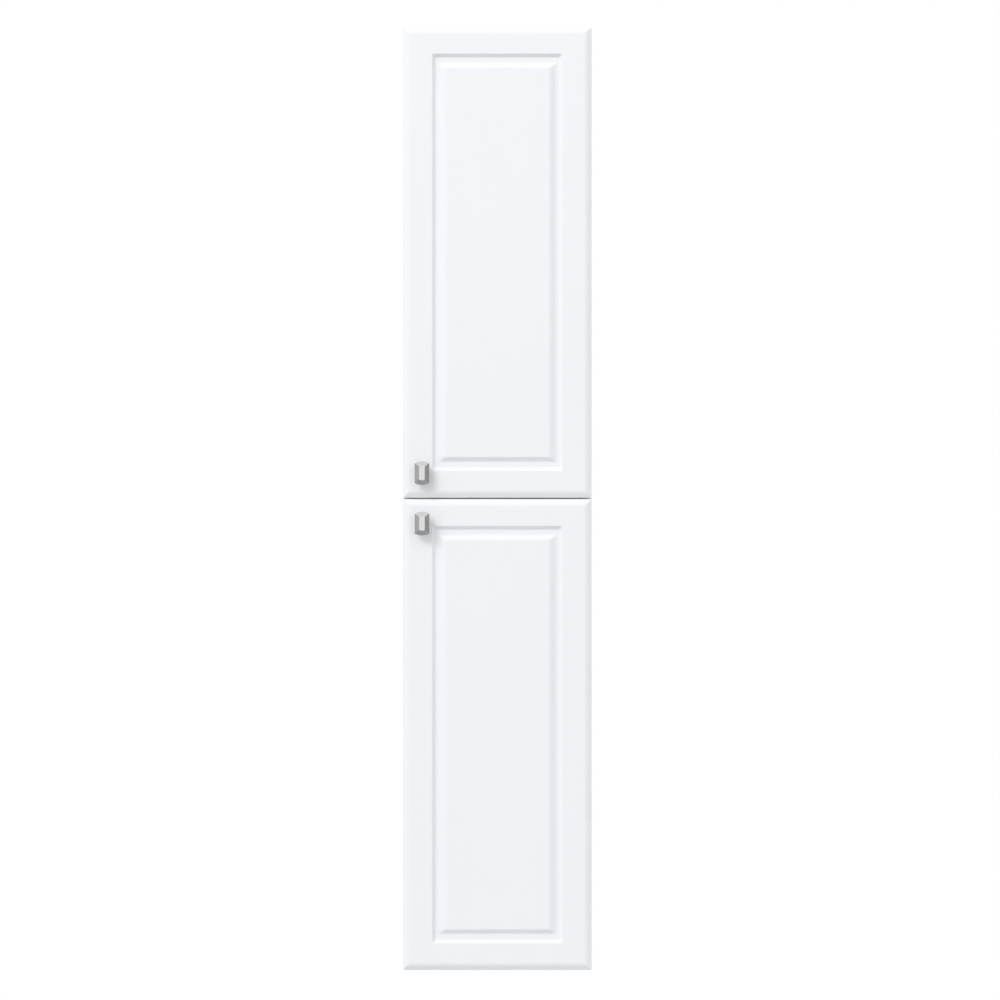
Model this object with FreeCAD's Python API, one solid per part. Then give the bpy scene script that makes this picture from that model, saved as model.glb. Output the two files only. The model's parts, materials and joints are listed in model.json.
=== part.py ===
"""Tall wall-hung bathroom cabinet with two raised-panel doors, one above the other.

Millimetres. +X is to the right of a person facing the doors, +Y points into the wall and
+Z is up. The origin is the centre of the four screw holes of the wall plates, on the wall.
Each sub-part is one STEP file in parts/, named after its node.
"""
import FreeCAD
import Part
import math
import os

V = FreeCAD.Vector

# ---------------------------------------------------------------- driving dimensions
WIDTH = 300.0            # outside of the case
HEIGHT = 1500.0
CASE_DEPTH = 300.0       # wall to the front edges of the side panels
TOP_Z = 60.0             # top of the case above the wall-plate screws
BOARD = 16.0             # thickness of the case panels
BACK_THICK = 3.0
BACK_FRONT = 21.2        # wall to the front side of the back panel's groove
GROOVE = 3.2             # width of that groove
GROOVE_DEPTH = 8.0
FIT = 0.1                # clearance all round a loose fit inside the case

DOOR_THICK = 18.0
DOOR_GAP = 2.0           # between the case and the back of a door
SEAM = 2.0               # between the two doors, which cover the front of the case
EDGE_ROLL = 7.0          # eased edge of a door: an arc that rolls off the face, then a slope
EDGE_SLOPE = 5.5
EDGE_ANGLE = 30.0        # of that slope to the face, in degrees
STILE = 46.5             # door edge to the start of the moulding, at the sides
RAIL = 43.0              # the same at top and bottom
STEP = 5.2               # moulding: step down, level floor and slope up to the raised field
SIDE_FLOOR = 5.0
END_FLOOR = 10.0
SIDE_SLOPE = 9.5
END_SLOPE = 5.8
MOULD_DEPTH = 5.5

KNOB_WIDTH = 23.5
KNOB_HEIGHT = 37.5
KNOB_ARCH = 3.0          # rise of the arched top and bottom ends
KNOB_BEVEL = 7.2
KNOB_SIDE = 4.0          # side wall behind the bevel
KNOB_HEAD = 10.0
KNOB_REACH = 24.0        # door face to the knob's front facet
KNOB_INSET = 30.5        # from the door's left edge
KNOB_FROM_SEAM = 39.0    # from the door's edge at the seam

CUP_RADIUS = 17.5
CUP_DEPTH = 12.0
CUP_INSET = 23.5         # door edge to the centre of the cup
HINGE_INSET = 90.0       # door end to the centre of a hinge
PLATE_INSET = 37.0       # front edge of the side panel to the line of system holes
SYSTEM_PITCH = 32.0
PIN_RADIUS = 2.5         # shelf pins
SHELF_THICK = 6.0
SHELF_DEPTH = 252.0
RUNNING = 0.05           # radial clearance of the links on their pins

WALL_HOLE_X = 105.0      # wall-plate screws, from the centre line
WALL_HOLE_Z = 16.0
WALL_HOLE_RADIUS = 3.25
RAIL_HOLE_X = 90.0       # screws through the lower mounting rail
RAIL_HOLE_RADIUS = 2.5

# ---------------------------------------------------------------- derived places
HALF = WIDTH / 2
INNER = HALF - BOARD                       # inner face of a side panel
BOTTOM_Z = TOP_Z - HEIGHT
CASE_FRONT = -CASE_DEPTH
DOOR_BACK = CASE_FRONT - DOOR_GAP
DOOR_FRONT = DOOR_BACK - DOOR_THICK
DOOR_HEIGHT = (HEIGHT - SEAM) / 2
SEAM_Z = TOP_Z - HEIGHT / 2
UPPER_DOOR = (SEAM_Z + SEAM / 2, TOP_Z)
LOWER_DOOR = (BOTTOM_Z, SEAM_Z - SEAM / 2)
MID_TOP = SEAM_Z + BOARD / 2
BAY = (TOP_Z - BOARD) - MID_TOP            # clear height of the upper bay; the lower is equal
SHELF_LEVELS = {
    "upper_bay_high_shelf": MID_TOP + BAY * 2 / 3,
    "upper_bay_low_shelf": MID_TOP + BAY / 3,
    "lower_bay_high_shelf": BOTTOM_Z + BOARD + BAY * 2 / 3,
    "lower_bay_low_shelf": BOTTOM_Z + BOARD + BAY / 3,
}
FRONT_HOLES_Y = CASE_FRONT + PLATE_INSET
REAR_HOLES_Y = -60.0
CUP_X = HALF - CUP_INSET

# Hinge pivots, seen from above in the closed pose. A and B carry the outer link, C and D
# the inner one. A and C are on the arm, B and D in the cup.
PIVOT_A = (INNER - 20.0, CASE_FRONT + 8.6)
PIVOT_B = (HALF - 11.6, DOOR_BACK - 2.6)
PIVOT_C = (INNER - 20.0, CASE_FRONT - 4.5)
PIVOT_D = (HALF - 13.7, DOOR_BACK - 7.9)
PIVOT_A_RADIUS = 1.5
SMALL_PIVOT_RADIUS = 1.25


# ---------------------------------------------------------------- plain solids
def box(x0, x1, y0, y1, z0, z1):
    """A block between two corners, in any order."""
    xs, ys, zs = sorted((x0, x1)), sorted((y0, y1)), sorted((z0, z1))
    return Part.makeBox(xs[1] - xs[0], ys[1] - ys[0], zs[1] - zs[0], V(xs[0], ys[0], zs[0]))


def rod(start, end, radius):
    """A round bar from one point to another."""
    run = V(*end) - V(*start)
    return Part.makeCylinder(radius, run.Length, V(*start), run)


def taper(start, end, radius_start, radius_end):
    """A cone from one point to another."""
    run = V(*end) - V(*start)
    return Part.makeCone(radius_start, radius_end, run.Length, V(*start), run)


def fused(shapes):
    """One solid from overlapping ones, without the seams between them."""
    whole = shapes[0].fuse(shapes[1:]) if len(shapes) > 1 else shapes[0]
    return whole.removeSplitter()


def group(shapes):
    """Several loose solids of one node."""
    return Part.Compound([solid for shape in shapes for solid in shape.Solids])


def eased(shape, radius, keep):
    """Rounds the straight edges that keep() accepts."""
    edges = [edge for edge in shape.Edges if keep(edge)]
    return shape.makeFillet(radius, edges)


def closed_edges(shape, beyond_y):
    """Round edges of a part that stands on the back of a door, further back than beyond_y."""
    return [edge for edge in shape.Edges if edge.Closed and edge.CenterOfMass.y > beyond_y]


def cross_recess(centre, depth, reach):
    """Driver recess of a screw: its centre on the head's face, and its depth as a vector."""
    axis = next(i for i in range(3) if depth[i])
    slots = []
    for long_way in [i for i in range(3) if i != axis]:
        low, high = list(centre), list(centre)
        for i in range(3):
            half = reach if i == long_way else reach / 5
            low[i] -= 0 if i == axis else half
            high[i] += depth[i] if i == axis else half
        slots.append(box(low[0], high[0], low[1], high[1], low[2], high[2]))
    return fused(slots)


def upright_bar(points, radius, z0, z1):
    """A bar of even width along points in plan, standing from z0 to z1."""
    pieces = [rod((x, y, z0), (x, y, z1), radius) for x, y in points]
    for (xa, ya), (xb, yb) in zip(points, points[1:]):
        run = V(xb - xa, yb - ya, 0)
        side = V(-run.y, run.x, 0).normalize() * radius
        a, b = V(xa, ya, z0), V(xb, yb, z0)
        outline = Part.makePolygon([a + side, b + side, b - side, a - side, a + side])
        pieces.append(Part.Face(outline).extrude(V(0, 0, z1 - z0)))
    return fused(pieces)


# ---------------------------------------------------------------- case
def case_ends():
    """Both ends of the three cross panels: (side, cross panel's middle height)."""
    heights = (TOP_Z - BOARD / 2, SEAM_Z, BOTTOM_Z + BOARD / 2)
    return [(side, z) for z in heights for side in (-1, 1)]


CAM_Y = (-60.0, -240.0)
DOWEL_Y = (-92.0, -208.0)
CAM_X = INNER - 24.0
CAM_RADIUS = 7.5
CAM_HEIGHT = 12.5
BOLT_RADIUS = 3.5
BOLT_IN_SIDE = 11.0
DOWEL_RADIUS = 4.0
DOWEL_IN_SIDE = 10.0
DOWEL_LENGTH = 30.0


def cam_face(z):
    """Outer face that the cams of the cross panel at z are let into, and their direction."""
    if z > SEAM_Z:
        return z + BOARD / 2, -1
    return z - BOARD / 2, 1


def joint_bores(side, z):
    """Bores at one end of a cross panel, for the bolts, dowels and cams."""
    face, inward = cam_face(z)
    cuts = []
    for y in CAM_Y:
        bolt_end = side * (INNER + BOLT_IN_SIDE)
        cuts.append(rod((bolt_end, y, z), (side * CAM_X, y, z), BOLT_RADIUS + FIT))
        cuts.append(rod((side * CAM_X, y, face), (side * CAM_X, y, face + inward * (CAM_HEIGHT + FIT)),
                        CAM_RADIUS + FIT))
    for y in DOWEL_Y:
        outer = side * (INNER + DOWEL_IN_SIDE + FIT)
        inner = side * (INNER + DOWEL_IN_SIDE - DOWEL_LENGTH - FIT)
        cuts.append(rod((outer, y, z), (inner, y, z), DOWEL_RADIUS + FIT))
    return cuts


def back_groove():
    """Space that the back panel's groove takes out of the case."""
    reach = INNER + GROOVE_DEPTH
    return box(-reach, reach, -BACK_FRONT, -BACK_FRONT + GROOVE,
               BOTTOM_Z + BOARD - GROOVE_DEPTH, TOP_Z - BOARD + GROOVE_DEPTH)


def system_holes(side):
    """Shelf-pin holes of one side panel: three to a column at each shelf."""
    cuts = []
    for level in SHELF_LEVELS.values():
        for y in (FRONT_HOLES_Y, REAR_HOLES_Y):
            for step in (-1, 0, 1):
                z = level - PIN_RADIUS + step * SYSTEM_PITCH
                cuts.append(rod((side * INNER, y, z), (side * (INNER + 9.5), y, z), PIN_RADIUS + RUNNING))
    return cuts


def side_panel(side):
    """One side of the case; the right one also takes the hinge plates."""
    panel = box(side * INNER, side * HALF, 0, CASE_FRONT, BOTTOM_Z, TOP_Z)
    panel = eased(panel, 0.8, lambda e: e.BoundBox.ZLength > HEIGHT - 1 and e.CenterOfMass.y < -1)
    cuts = [back_groove()] + system_holes(side)
    for end, z in case_ends():
        if end == side:
            cuts += joint_bores(end, z)
    for z in HANGER_SPIGOT_Z:
        cuts.append(rod((side * INNER, HANGER_SPIGOT_Y, z), (side * (INNER + 8.2), HANGER_SPIGOT_Y, z),
                        HANGER_SPIGOT_RADIUS + RUNNING))
    for z in RAIL_SCREW_Z:
        cuts += rail_screw(side, z).Solids
    if side > 0:
        for z in hinge_heights():
            cuts += [screw for screw in plate_screws(z).Solids]
    return panel.cut(cuts)


def cross_panel(z, back_y):
    """A horizontal panel between the sides, from back_y to the front of the case."""
    panel = box(-INNER, INNER, back_y, CASE_FRONT, z - BOARD / 2, z + BOARD / 2)
    cuts = [back_groove()]
    for side in (-1, 1):
        cuts += joint_bores(side, z)
    return panel.cut(cuts)


def back_panel():
    """Thin back in its grooves, notched where the hanging hooks pass."""
    reach = INNER + GROOVE_DEPTH - FIT * 5
    panel = box(-reach, reach, -BACK_FRONT + FIT, -BACK_FRONT + FIT + BACK_THICK,
                BOTTOM_Z + BOARD - GROOVE_DEPTH + FIT * 5, TOP_Z - BOARD + GROOVE_DEPTH - FIT * 5)
    notches = [box(side * (HOOK_X - HOOK_WIDTH / 2 - 2), side * (HOOK_X + HOOK_WIDTH / 2 + 2),
                   -BACK_FRONT, -BACK_FRONT + GROOVE, HOOK_Z - 16, HOOK_Z + 4) for side in (-1, 1)]
    return panel.cut(notches)


MOUNT_RAIL_HEIGHT = 80.0
MOUNT_RAIL_Z = BOTTOM_Z + BOARD
MOUNT_RAIL_BACK = -2.0
RAIL_SCREW_Z = (MOUNT_RAIL_Z + 20.0, MOUNT_RAIL_Z + 60.0)
RAIL_SCREW_RADIUS = 2.2
RAIL_SCREW_HEAD = 4.5


def rail_screw(side, z):
    """Countersunk screw through a side panel into the end of the lower mounting rail."""
    y = MOUNT_RAIL_BACK - BOARD / 2
    head = taper((side * HALF, y, z), (side * (HALF - 3.0), y, z), RAIL_SCREW_HEAD, RAIL_SCREW_RADIUS)
    shank = rod((side * (HALF - 2.9), y, z), (side * (HALF - 45.0), y, z), RAIL_SCREW_RADIUS)
    return fused([head, shank])


def lower_mounting_rail():
    """Wood rail behind the back panel, screwed to the wall near the bottom."""
    rail = box(-INNER, INNER, MOUNT_RAIL_BACK, MOUNT_RAIL_BACK - BOARD + FIT, MOUNT_RAIL_Z,
               MOUNT_RAIL_Z + MOUNT_RAIL_HEIGHT)
    z = MOUNT_RAIL_Z + MOUNT_RAIL_HEIGHT / 2
    cuts = [rod((side * RAIL_HOLE_X, 0, z), (side * RAIL_HOLE_X, -BACK_FRONT, z), RAIL_HOLE_RADIUS)
            for side in (-1, 1)]
    cuts += [rail_screw(side, height) for side in (-1, 1) for height in RAIL_SCREW_Z]
    return rail.cut(cuts)


def cam_locks():
    """Turned cams that draw the bolts in, flush with the hidden faces."""
    cams = []
    for side, z in case_ends():
        face, inward = cam_face(z)
        for y in CAM_Y:
            cam = rod((side * CAM_X, y, face), (side * CAM_X, y, face + inward * CAM_HEIGHT), CAM_RADIUS)
            slot = box(side * CAM_X - 5, side * CAM_X + 5, y - 0.9, y + 0.9, face, face + inward * 2.5)
            throat = rod((side * (CAM_X + CAM_RADIUS + 1), y, z), (side * (CAM_X + 1), y, z),
                         BOLT_RADIUS + FIT)
            cams.append(cam.cut([slot, throat]))
    return group(cams)


def cam_bolts():
    """Bolts screwed into the side panels, with a waist that the cam grips."""
    bolts = []
    for side, z in case_ends():
        for y in CAM_Y:
            shaft = rod((side * (INNER + BOLT_IN_SIDE), y, z), (side * (CAM_X + 5.5), y, z), BOLT_RADIUS)
            waist = rod((side * (CAM_X + 5.5), y, z), (side * (CAM_X + 3.5), y, z), BOLT_RADIUS / 2)
            head = rod((side * (CAM_X + 3.5), y, z), (side * (CAM_X + 1.5), y, z), BOLT_RADIUS)
            bolts.append(fused([shaft, waist, head]))
    return group(bolts)


def wood_dowels():
    """Chamfered dowels beside the bolts."""
    dowels = []
    for side, z in case_ends():
        outer = side * (INNER + DOWEL_IN_SIDE)
        inner = side * (INNER + DOWEL_IN_SIDE - DOWEL_LENGTH)
        for y in DOWEL_Y:
            dowel = rod((outer, y, z), (inner, y, z), DOWEL_RADIUS)
            dowels.append(dowel.makeChamfer(0.8, [e for e in dowel.Edges if e.Closed]))
    return group(dowels)


# ---------------------------------------------------------------- hanging on the wall
HANGER_WIDTH = 20.0
HANGER_TOP = TOP_Z - BOARD
HANGER_HEIGHT = 62.0
HANGER_DEPTH = 60.0
HANGER_BACK = -BACK_FRONT - 0.3
HANGER_SPIGOT_Y = HANGER_BACK - 34.0
HANGER_SPIGOT_Z = (HANGER_TOP - 20.0, HANGER_TOP - 48.0)
HANGER_SPIGOT_RADIUS = 5.0
HOOK_X = INNER - HANGER_WIDTH / 2
HOOK_WIDTH = 13.0
HOOK_Z = 34.0            # underside of the hook, on the lip of the wall plate
STEEL = 2.0
ADJUSTER_RADIUS = 3.0
ADJUSTER_Z = (HANGER_TOP - 26.0, HANGER_TOP - 44.0)
PLATE_HALF_WIDTH = 26.0
PLATE_LOW = -28.0
LIP_OFFSET = 4.0         # the upper lip of a wall plate stands off the wall by this much
LIP_START = 23.0


def hanger_adjuster(side, z):
    """Screw that lifts or draws in the hook, let into the front of the hanger."""
    front = HANGER_BACK - HANGER_DEPTH
    x = side * HOOK_X
    head = rod((x, front + 3.0, z), (x, front + 0.5, z), ADJUSTER_RADIUS + 1.5)
    shank = rod((x, front + 3.0, z), (x, front + 34.0, z), ADJUSTER_RADIUS)
    return fused([head, shank]).cut(cross_recess((x, front + 0.5, z), (0, 1.5, 0), 2.4))


def hanger_body(side):
    """Moulded hanger in the upper rear corner, pegged into the side panel."""
    front = HANGER_BACK - HANGER_DEPTH
    body = box(side * (INNER - HANGER_WIDTH), side * INNER, HANGER_BACK, front,
               HANGER_TOP - HANGER_HEIGHT, HANGER_TOP)
    body = eased(body, 3.0, lambda e: abs(e.CenterOfMass.x - side * (INNER - HANGER_WIDTH)) < 0.1
                 and e.CenterOfMass.y < HANGER_BACK - 1)
    pegs = [rod((side * (INNER - 1), HANGER_SPIGOT_Y, z), (side * (INNER + 8.0), HANGER_SPIGOT_Y, z),
                HANGER_SPIGOT_RADIUS) for z in HANGER_SPIGOT_Z]
    slot = box(side * (HOOK_X - HOOK_WIDTH / 2 - 0.5), side * (HOOK_X + HOOK_WIDTH / 2 + 0.5),
               HANGER_BACK, front + 12.0, HOOK_Z - 1, HOOK_Z + STEEL + 1)
    wells = []
    for z in ADJUSTER_Z:
        wells.append(rod((side * HOOK_X, front, z), (side * HOOK_X, front + 3.0, z), ADJUSTER_RADIUS + 1.6))
        wells.append(rod((side * HOOK_X, front, z), (side * HOOK_X, front + 34.2, z), ADJUSTER_RADIUS + FIT))
    return fused([body] + pegs).cut([slot] + wells)


def hanger_hook(side):
    """Bent steel strip from the hanger, through the back panel, over the wall plate's lip."""
    x0, x1 = side * (HOOK_X - HOOK_WIDTH / 2), side * (HOOK_X + HOOK_WIDTH / 2)
    strip = box(x0, x1, HANGER_BACK - 44.0, -0.9, HOOK_Z, HOOK_Z + STEEL)
    tongue = box(x0, x1, -0.9, -0.9 - STEEL, HOOK_Z - 9.0, HOOK_Z + STEEL)
    bent = fused([strip, tongue])
    return eased(bent, 1.5, lambda e: e.BoundBox.XLength > HOOK_WIDTH - 1
                 and abs(e.CenterOfMass.y + 0.9) < 0.01 and e.CenterOfMass.z > HOOK_Z + 1)


def hanger_adjusting_screws():
    """Two adjusters in each hanger."""
    return group([hanger_adjuster(side, z) for side in (-1, 1) for z in ADJUSTER_Z])


def wall_plate(side):
    """Steel plate screwed to the wall; its joggled upper lip holds the hook."""
    x0, x1 = side * (WALL_HOLE_X - PLATE_HALF_WIDTH), side * (WALL_HOLE_X + PLATE_HALF_WIDTH)
    flat = box(x0, x1, 0, -STEEL, PLATE_LOW, LIP_START)
    shelf = box(x0, x1, 0, -LIP_OFFSET - STEEL, LIP_START - STEEL, LIP_START)
    lip = box(x0, x1, -LIP_OFFSET, -LIP_OFFSET - STEEL, LIP_START - STEEL, HOOK_Z)
    plate = fused([flat, shelf, lip])
    holes = [rod((side * WALL_HOLE_X, 1, z), (side * WALL_HOLE_X, -STEEL - 1, z), WALL_HOLE_RADIUS)
             for z in (-WALL_HOLE_Z, WALL_HOLE_Z)]
    return plate.cut(holes)


# ---------------------------------------------------------------- shelves
def shelf(level):
    """Loose glass shelf with polished, slightly rounded long edges."""
    front = -BACK_FRONT - 2.0
    plate = box(-INNER + 1.0, INNER - 1.0, front, front - SHELF_DEPTH, level, level + SHELF_THICK)
    return eased(plate, 1.2, lambda e: e.BoundBox.XLength > 2 * INNER - 3)


def shelf_pins(level):
    """Four pins that carry one shelf; the stop collar rests on the side panel."""
    pins = []
    z = level - PIN_RADIUS
    for side in (-1, 1):
        for y in (FRONT_HOLES_Y, REAR_HOLES_Y):
            pin = rod((side * (INNER + 8.0), y, z), (side * (INNER - 8.0), y, z), PIN_RADIUS)
            collar = rod((side * INNER, y, z), (side * (INNER - 0.9), y, z), PIN_RADIUS + 1.5)
            pins.append(fused([pin, collar]))
    return group(pins)


# ---------------------------------------------------------------- doors
def rectangle(x, y, z):
    """Outline at a depth, reaching x and z to either side of the middle."""
    corners = [V(x, y, z), V(-x, y, z), V(-x, y, -z), V(x, y, -z), V(x, y, z)]
    return Part.Wire([Part.makeLine(a, b) for a, b in zip(corners, corners[1:])])


def tapered_block(face, floor):
    """Block from the face of a door to the floor of its moulding, from two half sizes (x, z)."""
    outer = rectangle(face[0], DOOR_FRONT, face[1])
    inner = rectangle(floor[0], DOOR_FRONT + MOULD_DEPTH, floor[1])
    return Part.makeLoft([outer, inner], True, True)


def moulding(half):
    """What is routed away round the raised field of a door of that half height."""
    x, z = HALF - STILE, half - RAIL
    pocket = tapered_block((x, z), (x - STEP, z - STEP))
    x, z = x - STEP - SIDE_FLOOR, z - STEP - END_FLOOR
    return pocket.cut(tapered_block((x - SIDE_SLOPE, z - END_SLOPE), (x, z)))


def edge_cut(half):
    """What is taken off round the front of a door of that half height: an arc and a slope.

    The profile stands in the middle of the lower side and is swept round the door.
    """
    angle = math.radians(EDGE_ANGLE)
    radius = EDGE_ROLL / math.sin(angle)
    rolled = radius * (1 - math.cos(angle))
    drop = rolled + EDGE_SLOPE * math.tan(angle)
    end = EDGE_SLOPE + EDGE_ROLL

    def at(inset, depth):
        return V(0, DOOR_FRONT + depth, inset - half)

    middle = at(end - radius * math.sin(angle / 2), radius * (1 - math.cos(angle / 2)))
    roll = Part.Arc(at(EDGE_SLOPE, rolled), middle, at(end, 0)).toShape()
    corners = [at(end, 0), at(end, -1), at(-1, -1), at(-1, drop), at(0, drop), at(EDGE_SLOPE, rolled)]
    profile = Part.Wire([roll] + [Part.makeLine(a, b) for a, b in zip(corners, corners[1:])])
    low = V(0, DOOR_FRONT, -half)
    turns = [low, V(HALF, DOOR_FRONT, -half), V(HALF, DOOR_FRONT, half), V(-HALF, DOOR_FRONT, half),
             V(-HALF, DOOR_FRONT, -half), low]
    path = Part.Wire([Part.makeLine(a, b) for a, b in zip(turns, turns[1:])])
    return path.makePipeShell([profile], True, False, 1)


def hinge_heights(door=None):
    """Heights of the hinges of one door, or of both."""
    doors = [door] if door else [UPPER_DOOR, LOWER_DOOR]
    return [z for low, high in doors for z in (high - HINGE_INSET, low + HINGE_INSET)]


def knob_place(door):
    """Knob centre: by the free edge, near the seam between the doors."""
    low, high = door
    z = low + KNOB_FROM_SEAM if low > SEAM_Z else high - KNOB_FROM_SEAM
    return -HALF + KNOB_INSET, z


def routed_blank():
    """Door of one piece with its eased edge and raised field, centred on height 0."""
    half = DOOR_HEIGHT / 2
    blank = box(-HALF, HALF, DOOR_BACK, DOOR_FRONT, -half, half)
    blank = eased(blank, 1.2, lambda e: e.CenterOfMass.y > DOOR_BACK - 0.1)
    return blank.cut(edge_cut(half)).cut(moulding(half))


def door_leaf(door):
    """Routed door, bored for its knob screw and its two cups."""
    leaf = routed_blank()
    leaf.translate(V(0, 0, sum(door) / 2))
    x, z = knob_place(door)
    cuts = [rod((x, DOOR_BACK, z), (x, DOOR_FRONT, z), KNOB_SCREW_RADIUS)]
    for height in hinge_heights(door):
        cuts.append(rod((CUP_X, DOOR_BACK, height), (CUP_X, DOOR_BACK - CUP_DEPTH, height), CUP_RADIUS))
        cuts += cup_screws_at(height)
    return leaf.cut(cuts)


KNOB_SCREW_RADIUS = 2.0
KNOB_SCREW_LENGTH = 28.0


def knob_outline(y, inset):
    """Outline of the knob's head: straight sides and arched ends."""
    w, h = KNOB_WIDTH / 2 - inset, KNOB_HEIGHT / 2 - inset
    rise = KNOB_ARCH * w / (KNOB_WIDTH / 2)
    corner = h - rise
    return Part.Wire([
        Part.makeLine(V(w, y, -corner), V(w, y, corner)),
        Part.Arc(V(w, y, corner), V(0, y, h), V(-w, y, corner)).toShape(),
        Part.makeLine(V(-w, y, corner), V(-w, y, -corner)),
        Part.Arc(V(-w, y, -corner), V(0, y, -h), V(w, y, -corner)).toShape(),
    ])


def knob(door):
    """Rectangular knob with arched ends, wide bevels and a flat facet, on a turned stem."""
    x, z = knob_place(door)
    facet = DOOR_FRONT - KNOB_REACH
    rear = facet + KNOB_HEAD
    wall_end = rear - KNOB_SIDE
    wall = Part.makeLoft([knob_outline(rear, 0), knob_outline(wall_end, 0)], True, True)
    bevel = Part.makeLoft([knob_outline(wall_end, 0), knob_outline(facet, KNOB_BEVEL)], True, True)
    stem = rod((0, DOOR_FRONT, 0), (0, rear, 0), 6.0)
    foot = taper((0, DOOR_FRONT, 0), (0, DOOR_FRONT - 4.0, 0), 8.5, 6.0)
    whole = fused([wall, bevel, stem, foot])
    whole = whole.cut(rod((0, DOOR_FRONT, 0), (0, DOOR_BACK - KNOB_SCREW_LENGTH, 0), KNOB_SCREW_RADIUS))
    whole.translate(V(x, 0, z))
    return whole


def knob_screw(door):
    """Pan-head screw through the door into the knob."""
    x, z = knob_place(door)
    head = rod((x, DOOR_BACK, z), (x, DOOR_BACK + 2.4, z), 4.2)
    head = head.makeFillet(1.2, closed_edges(head, DOOR_BACK + 1))
    shank = rod((x, DOOR_BACK, z), (x, DOOR_BACK - KNOB_SCREW_LENGTH, z), KNOB_SCREW_RADIUS)
    return fused([head, shank]).cut(cross_recess((x, DOOR_BACK + 2.4, z), (0, -1.4, 0), 2.2))


def bumpers(door):
    """Two soft dots on the back of a door, against the free side of the case."""
    low, high = door
    dots = []
    for z in (high - 25.0, low + 25.0):
        x = 8.0 - HALF
        dot = rod((x, DOOR_BACK, z), (x, DOOR_BACK + DOOR_GAP - 0.3, z), 4.0)
        dots.append(dot.makeFillet(0.9, closed_edges(dot, DOOR_BACK + 1)))
    return group(dots)


# ---------------------------------------------------------------- hinges
CUP_WALL = 0.9
FLANGE = 0.9
CUP_SCREW_X = CUP_X - 9.5
CUP_SCREW_Z = 22.5
CUP_SCREW_RADIUS = 1.75
EAR_INNER = 2.5          # cup ears and arm nose stand between these half widths
EAR_OUTER = 3.9
LINK_OUTER = (4.3, 5.8)  # half widths of the outer link's two cheeks
LINK_INNER = 2.2         # half width of the inner link
OUTER_LINK_PATH = [(0.0, 0.0), (6.5, -9.1), (13.3, -15.8), (19.3, -18.0)]   # from pivot A
OUTER_LINK_SPACER = (10.8, -9.5)
INNER_LINK_PATH = [(0.0, 0.0), (5.0, -4.8), (9.8, -6.4), (22.0, -6.4)]      # from pivot C
SOCKET = (1.0, -1.0)     # centre of the open socket at pivot D, from the pin when closed
SOCKET_RADIUS = 2.85
ARM_HALF = 9.0
ARM_SHEET = 1.5
ARM_WEB_X = INNER - 22.7
ARM_FRONT = CASE_FRONT + 14.0
ARM_REAR = CASE_FRONT + 72.0
BLOCK_FRONT = CASE_FRONT + 22.0
BLOCK_REAR = CASE_FRONT + 64.0
BLOCK_HALF = 7.0
PLATE_SHEET = 2.2
PLATE_SCREW_RADIUS = 2.5
ARM_SCREW_Y = (CASE_FRONT + 31.0, CASE_FRONT + 55.0)


def shifted(start, steps):
    """Plan points of a path that starts at a pivot."""
    return [(start[0] + dx, start[1] + dy) for dx, dy in steps]


def cup_screws_at(z):
    """Two small screws that hold one cup's flange."""
    screws = []
    for height in (z - CUP_SCREW_Z, z + CUP_SCREW_Z):
        top = DOOR_BACK + FLANGE
        head = taper((CUP_SCREW_X, top, height), (CUP_SCREW_X, top - 1.8, height), 3.5, CUP_SCREW_RADIUS)
        shank = rod((CUP_SCREW_X, top - 1.7, height), (CUP_SCREW_X, top - 13.0, height), CUP_SCREW_RADIUS)
        screws.append(fused([head, shank]))
    return screws


def cup_screws(door):
    """All cup screws of one door, with a cross in each head."""
    screws = []
    for z in hinge_heights(door):
        for screw, height in zip(cup_screws_at(z), (z - CUP_SCREW_Z, z + CUP_SCREW_Z)):
            face = (CUP_SCREW_X, DOOR_BACK + FLANGE, height)
            screws.append(screw.cut(cross_recess(face, (0, -1.0, 0), 1.8)))
    return group(screws)


def cup_pins_at(z):
    """Two stub pins at pivot B, one on each side, and a short pin at pivot D."""
    b, d = PIVOT_B, PIVOT_D
    stub_in, stub_out = LINK_OUTER[0] - 0.1, 11.2
    return [rod((b[0], b[1], z + stub_in), (b[0], b[1], z + stub_out), SMALL_PIVOT_RADIUS),
            rod((b[0], b[1], z - stub_in), (b[0], b[1], z - stub_out), SMALL_PIVOT_RADIUS),
            rod((d[0], d[1], z - EAR_OUTER), (d[0], d[1], z + EAR_OUTER), SMALL_PIVOT_RADIUS)]


def hinge_cup(z):
    """Pressed cup with its screw flange and the two ears that hold the pin at pivot D."""
    floor_y = DOOR_BACK - CUP_DEPTH + 0.1
    centre = (CUP_X, DOOR_BACK + FLANGE, z)
    body = rod(centre, (CUP_X, floor_y, z), CUP_RADIUS - 0.1)
    rim = rod(centre, (CUP_X, DOOR_BACK, z), CUP_RADIUS + 2.0)
    wing = box(CUP_SCREW_X - 6.0, CUP_X + 4.0, DOOR_BACK, DOOR_BACK + FLANGE, z - 28.5, z + 28.5)
    wing = eased(wing, 5.0, lambda e: e.BoundBox.YLength > FLANGE / 2 and e.BoundBox.ZLength < 1)
    hollow = rod(centre, (CUP_X, floor_y + CUP_WALL, z), CUP_RADIUS - 0.1 - CUP_WALL)
    shell = fused([body, rim, wing]).cut(hollow)
    ears = [box(PIVOT_D[0] - 2.4, PIVOT_D[0] + 3.0, floor_y + CUP_WALL / 2, PIVOT_D[1] + 1.9,
                z + side * EAR_INNER, z + side * EAR_OUTER) for side in (-1, 1)]
    return fused([shell] + ears).cut(cup_pins_at(z) + cup_screws_at(z))


def cup_pins(door):
    """Cup pins of both hinges of one door."""
    return group([pin for z in hinge_heights(door) for pin in cup_pins_at(z)])


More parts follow.
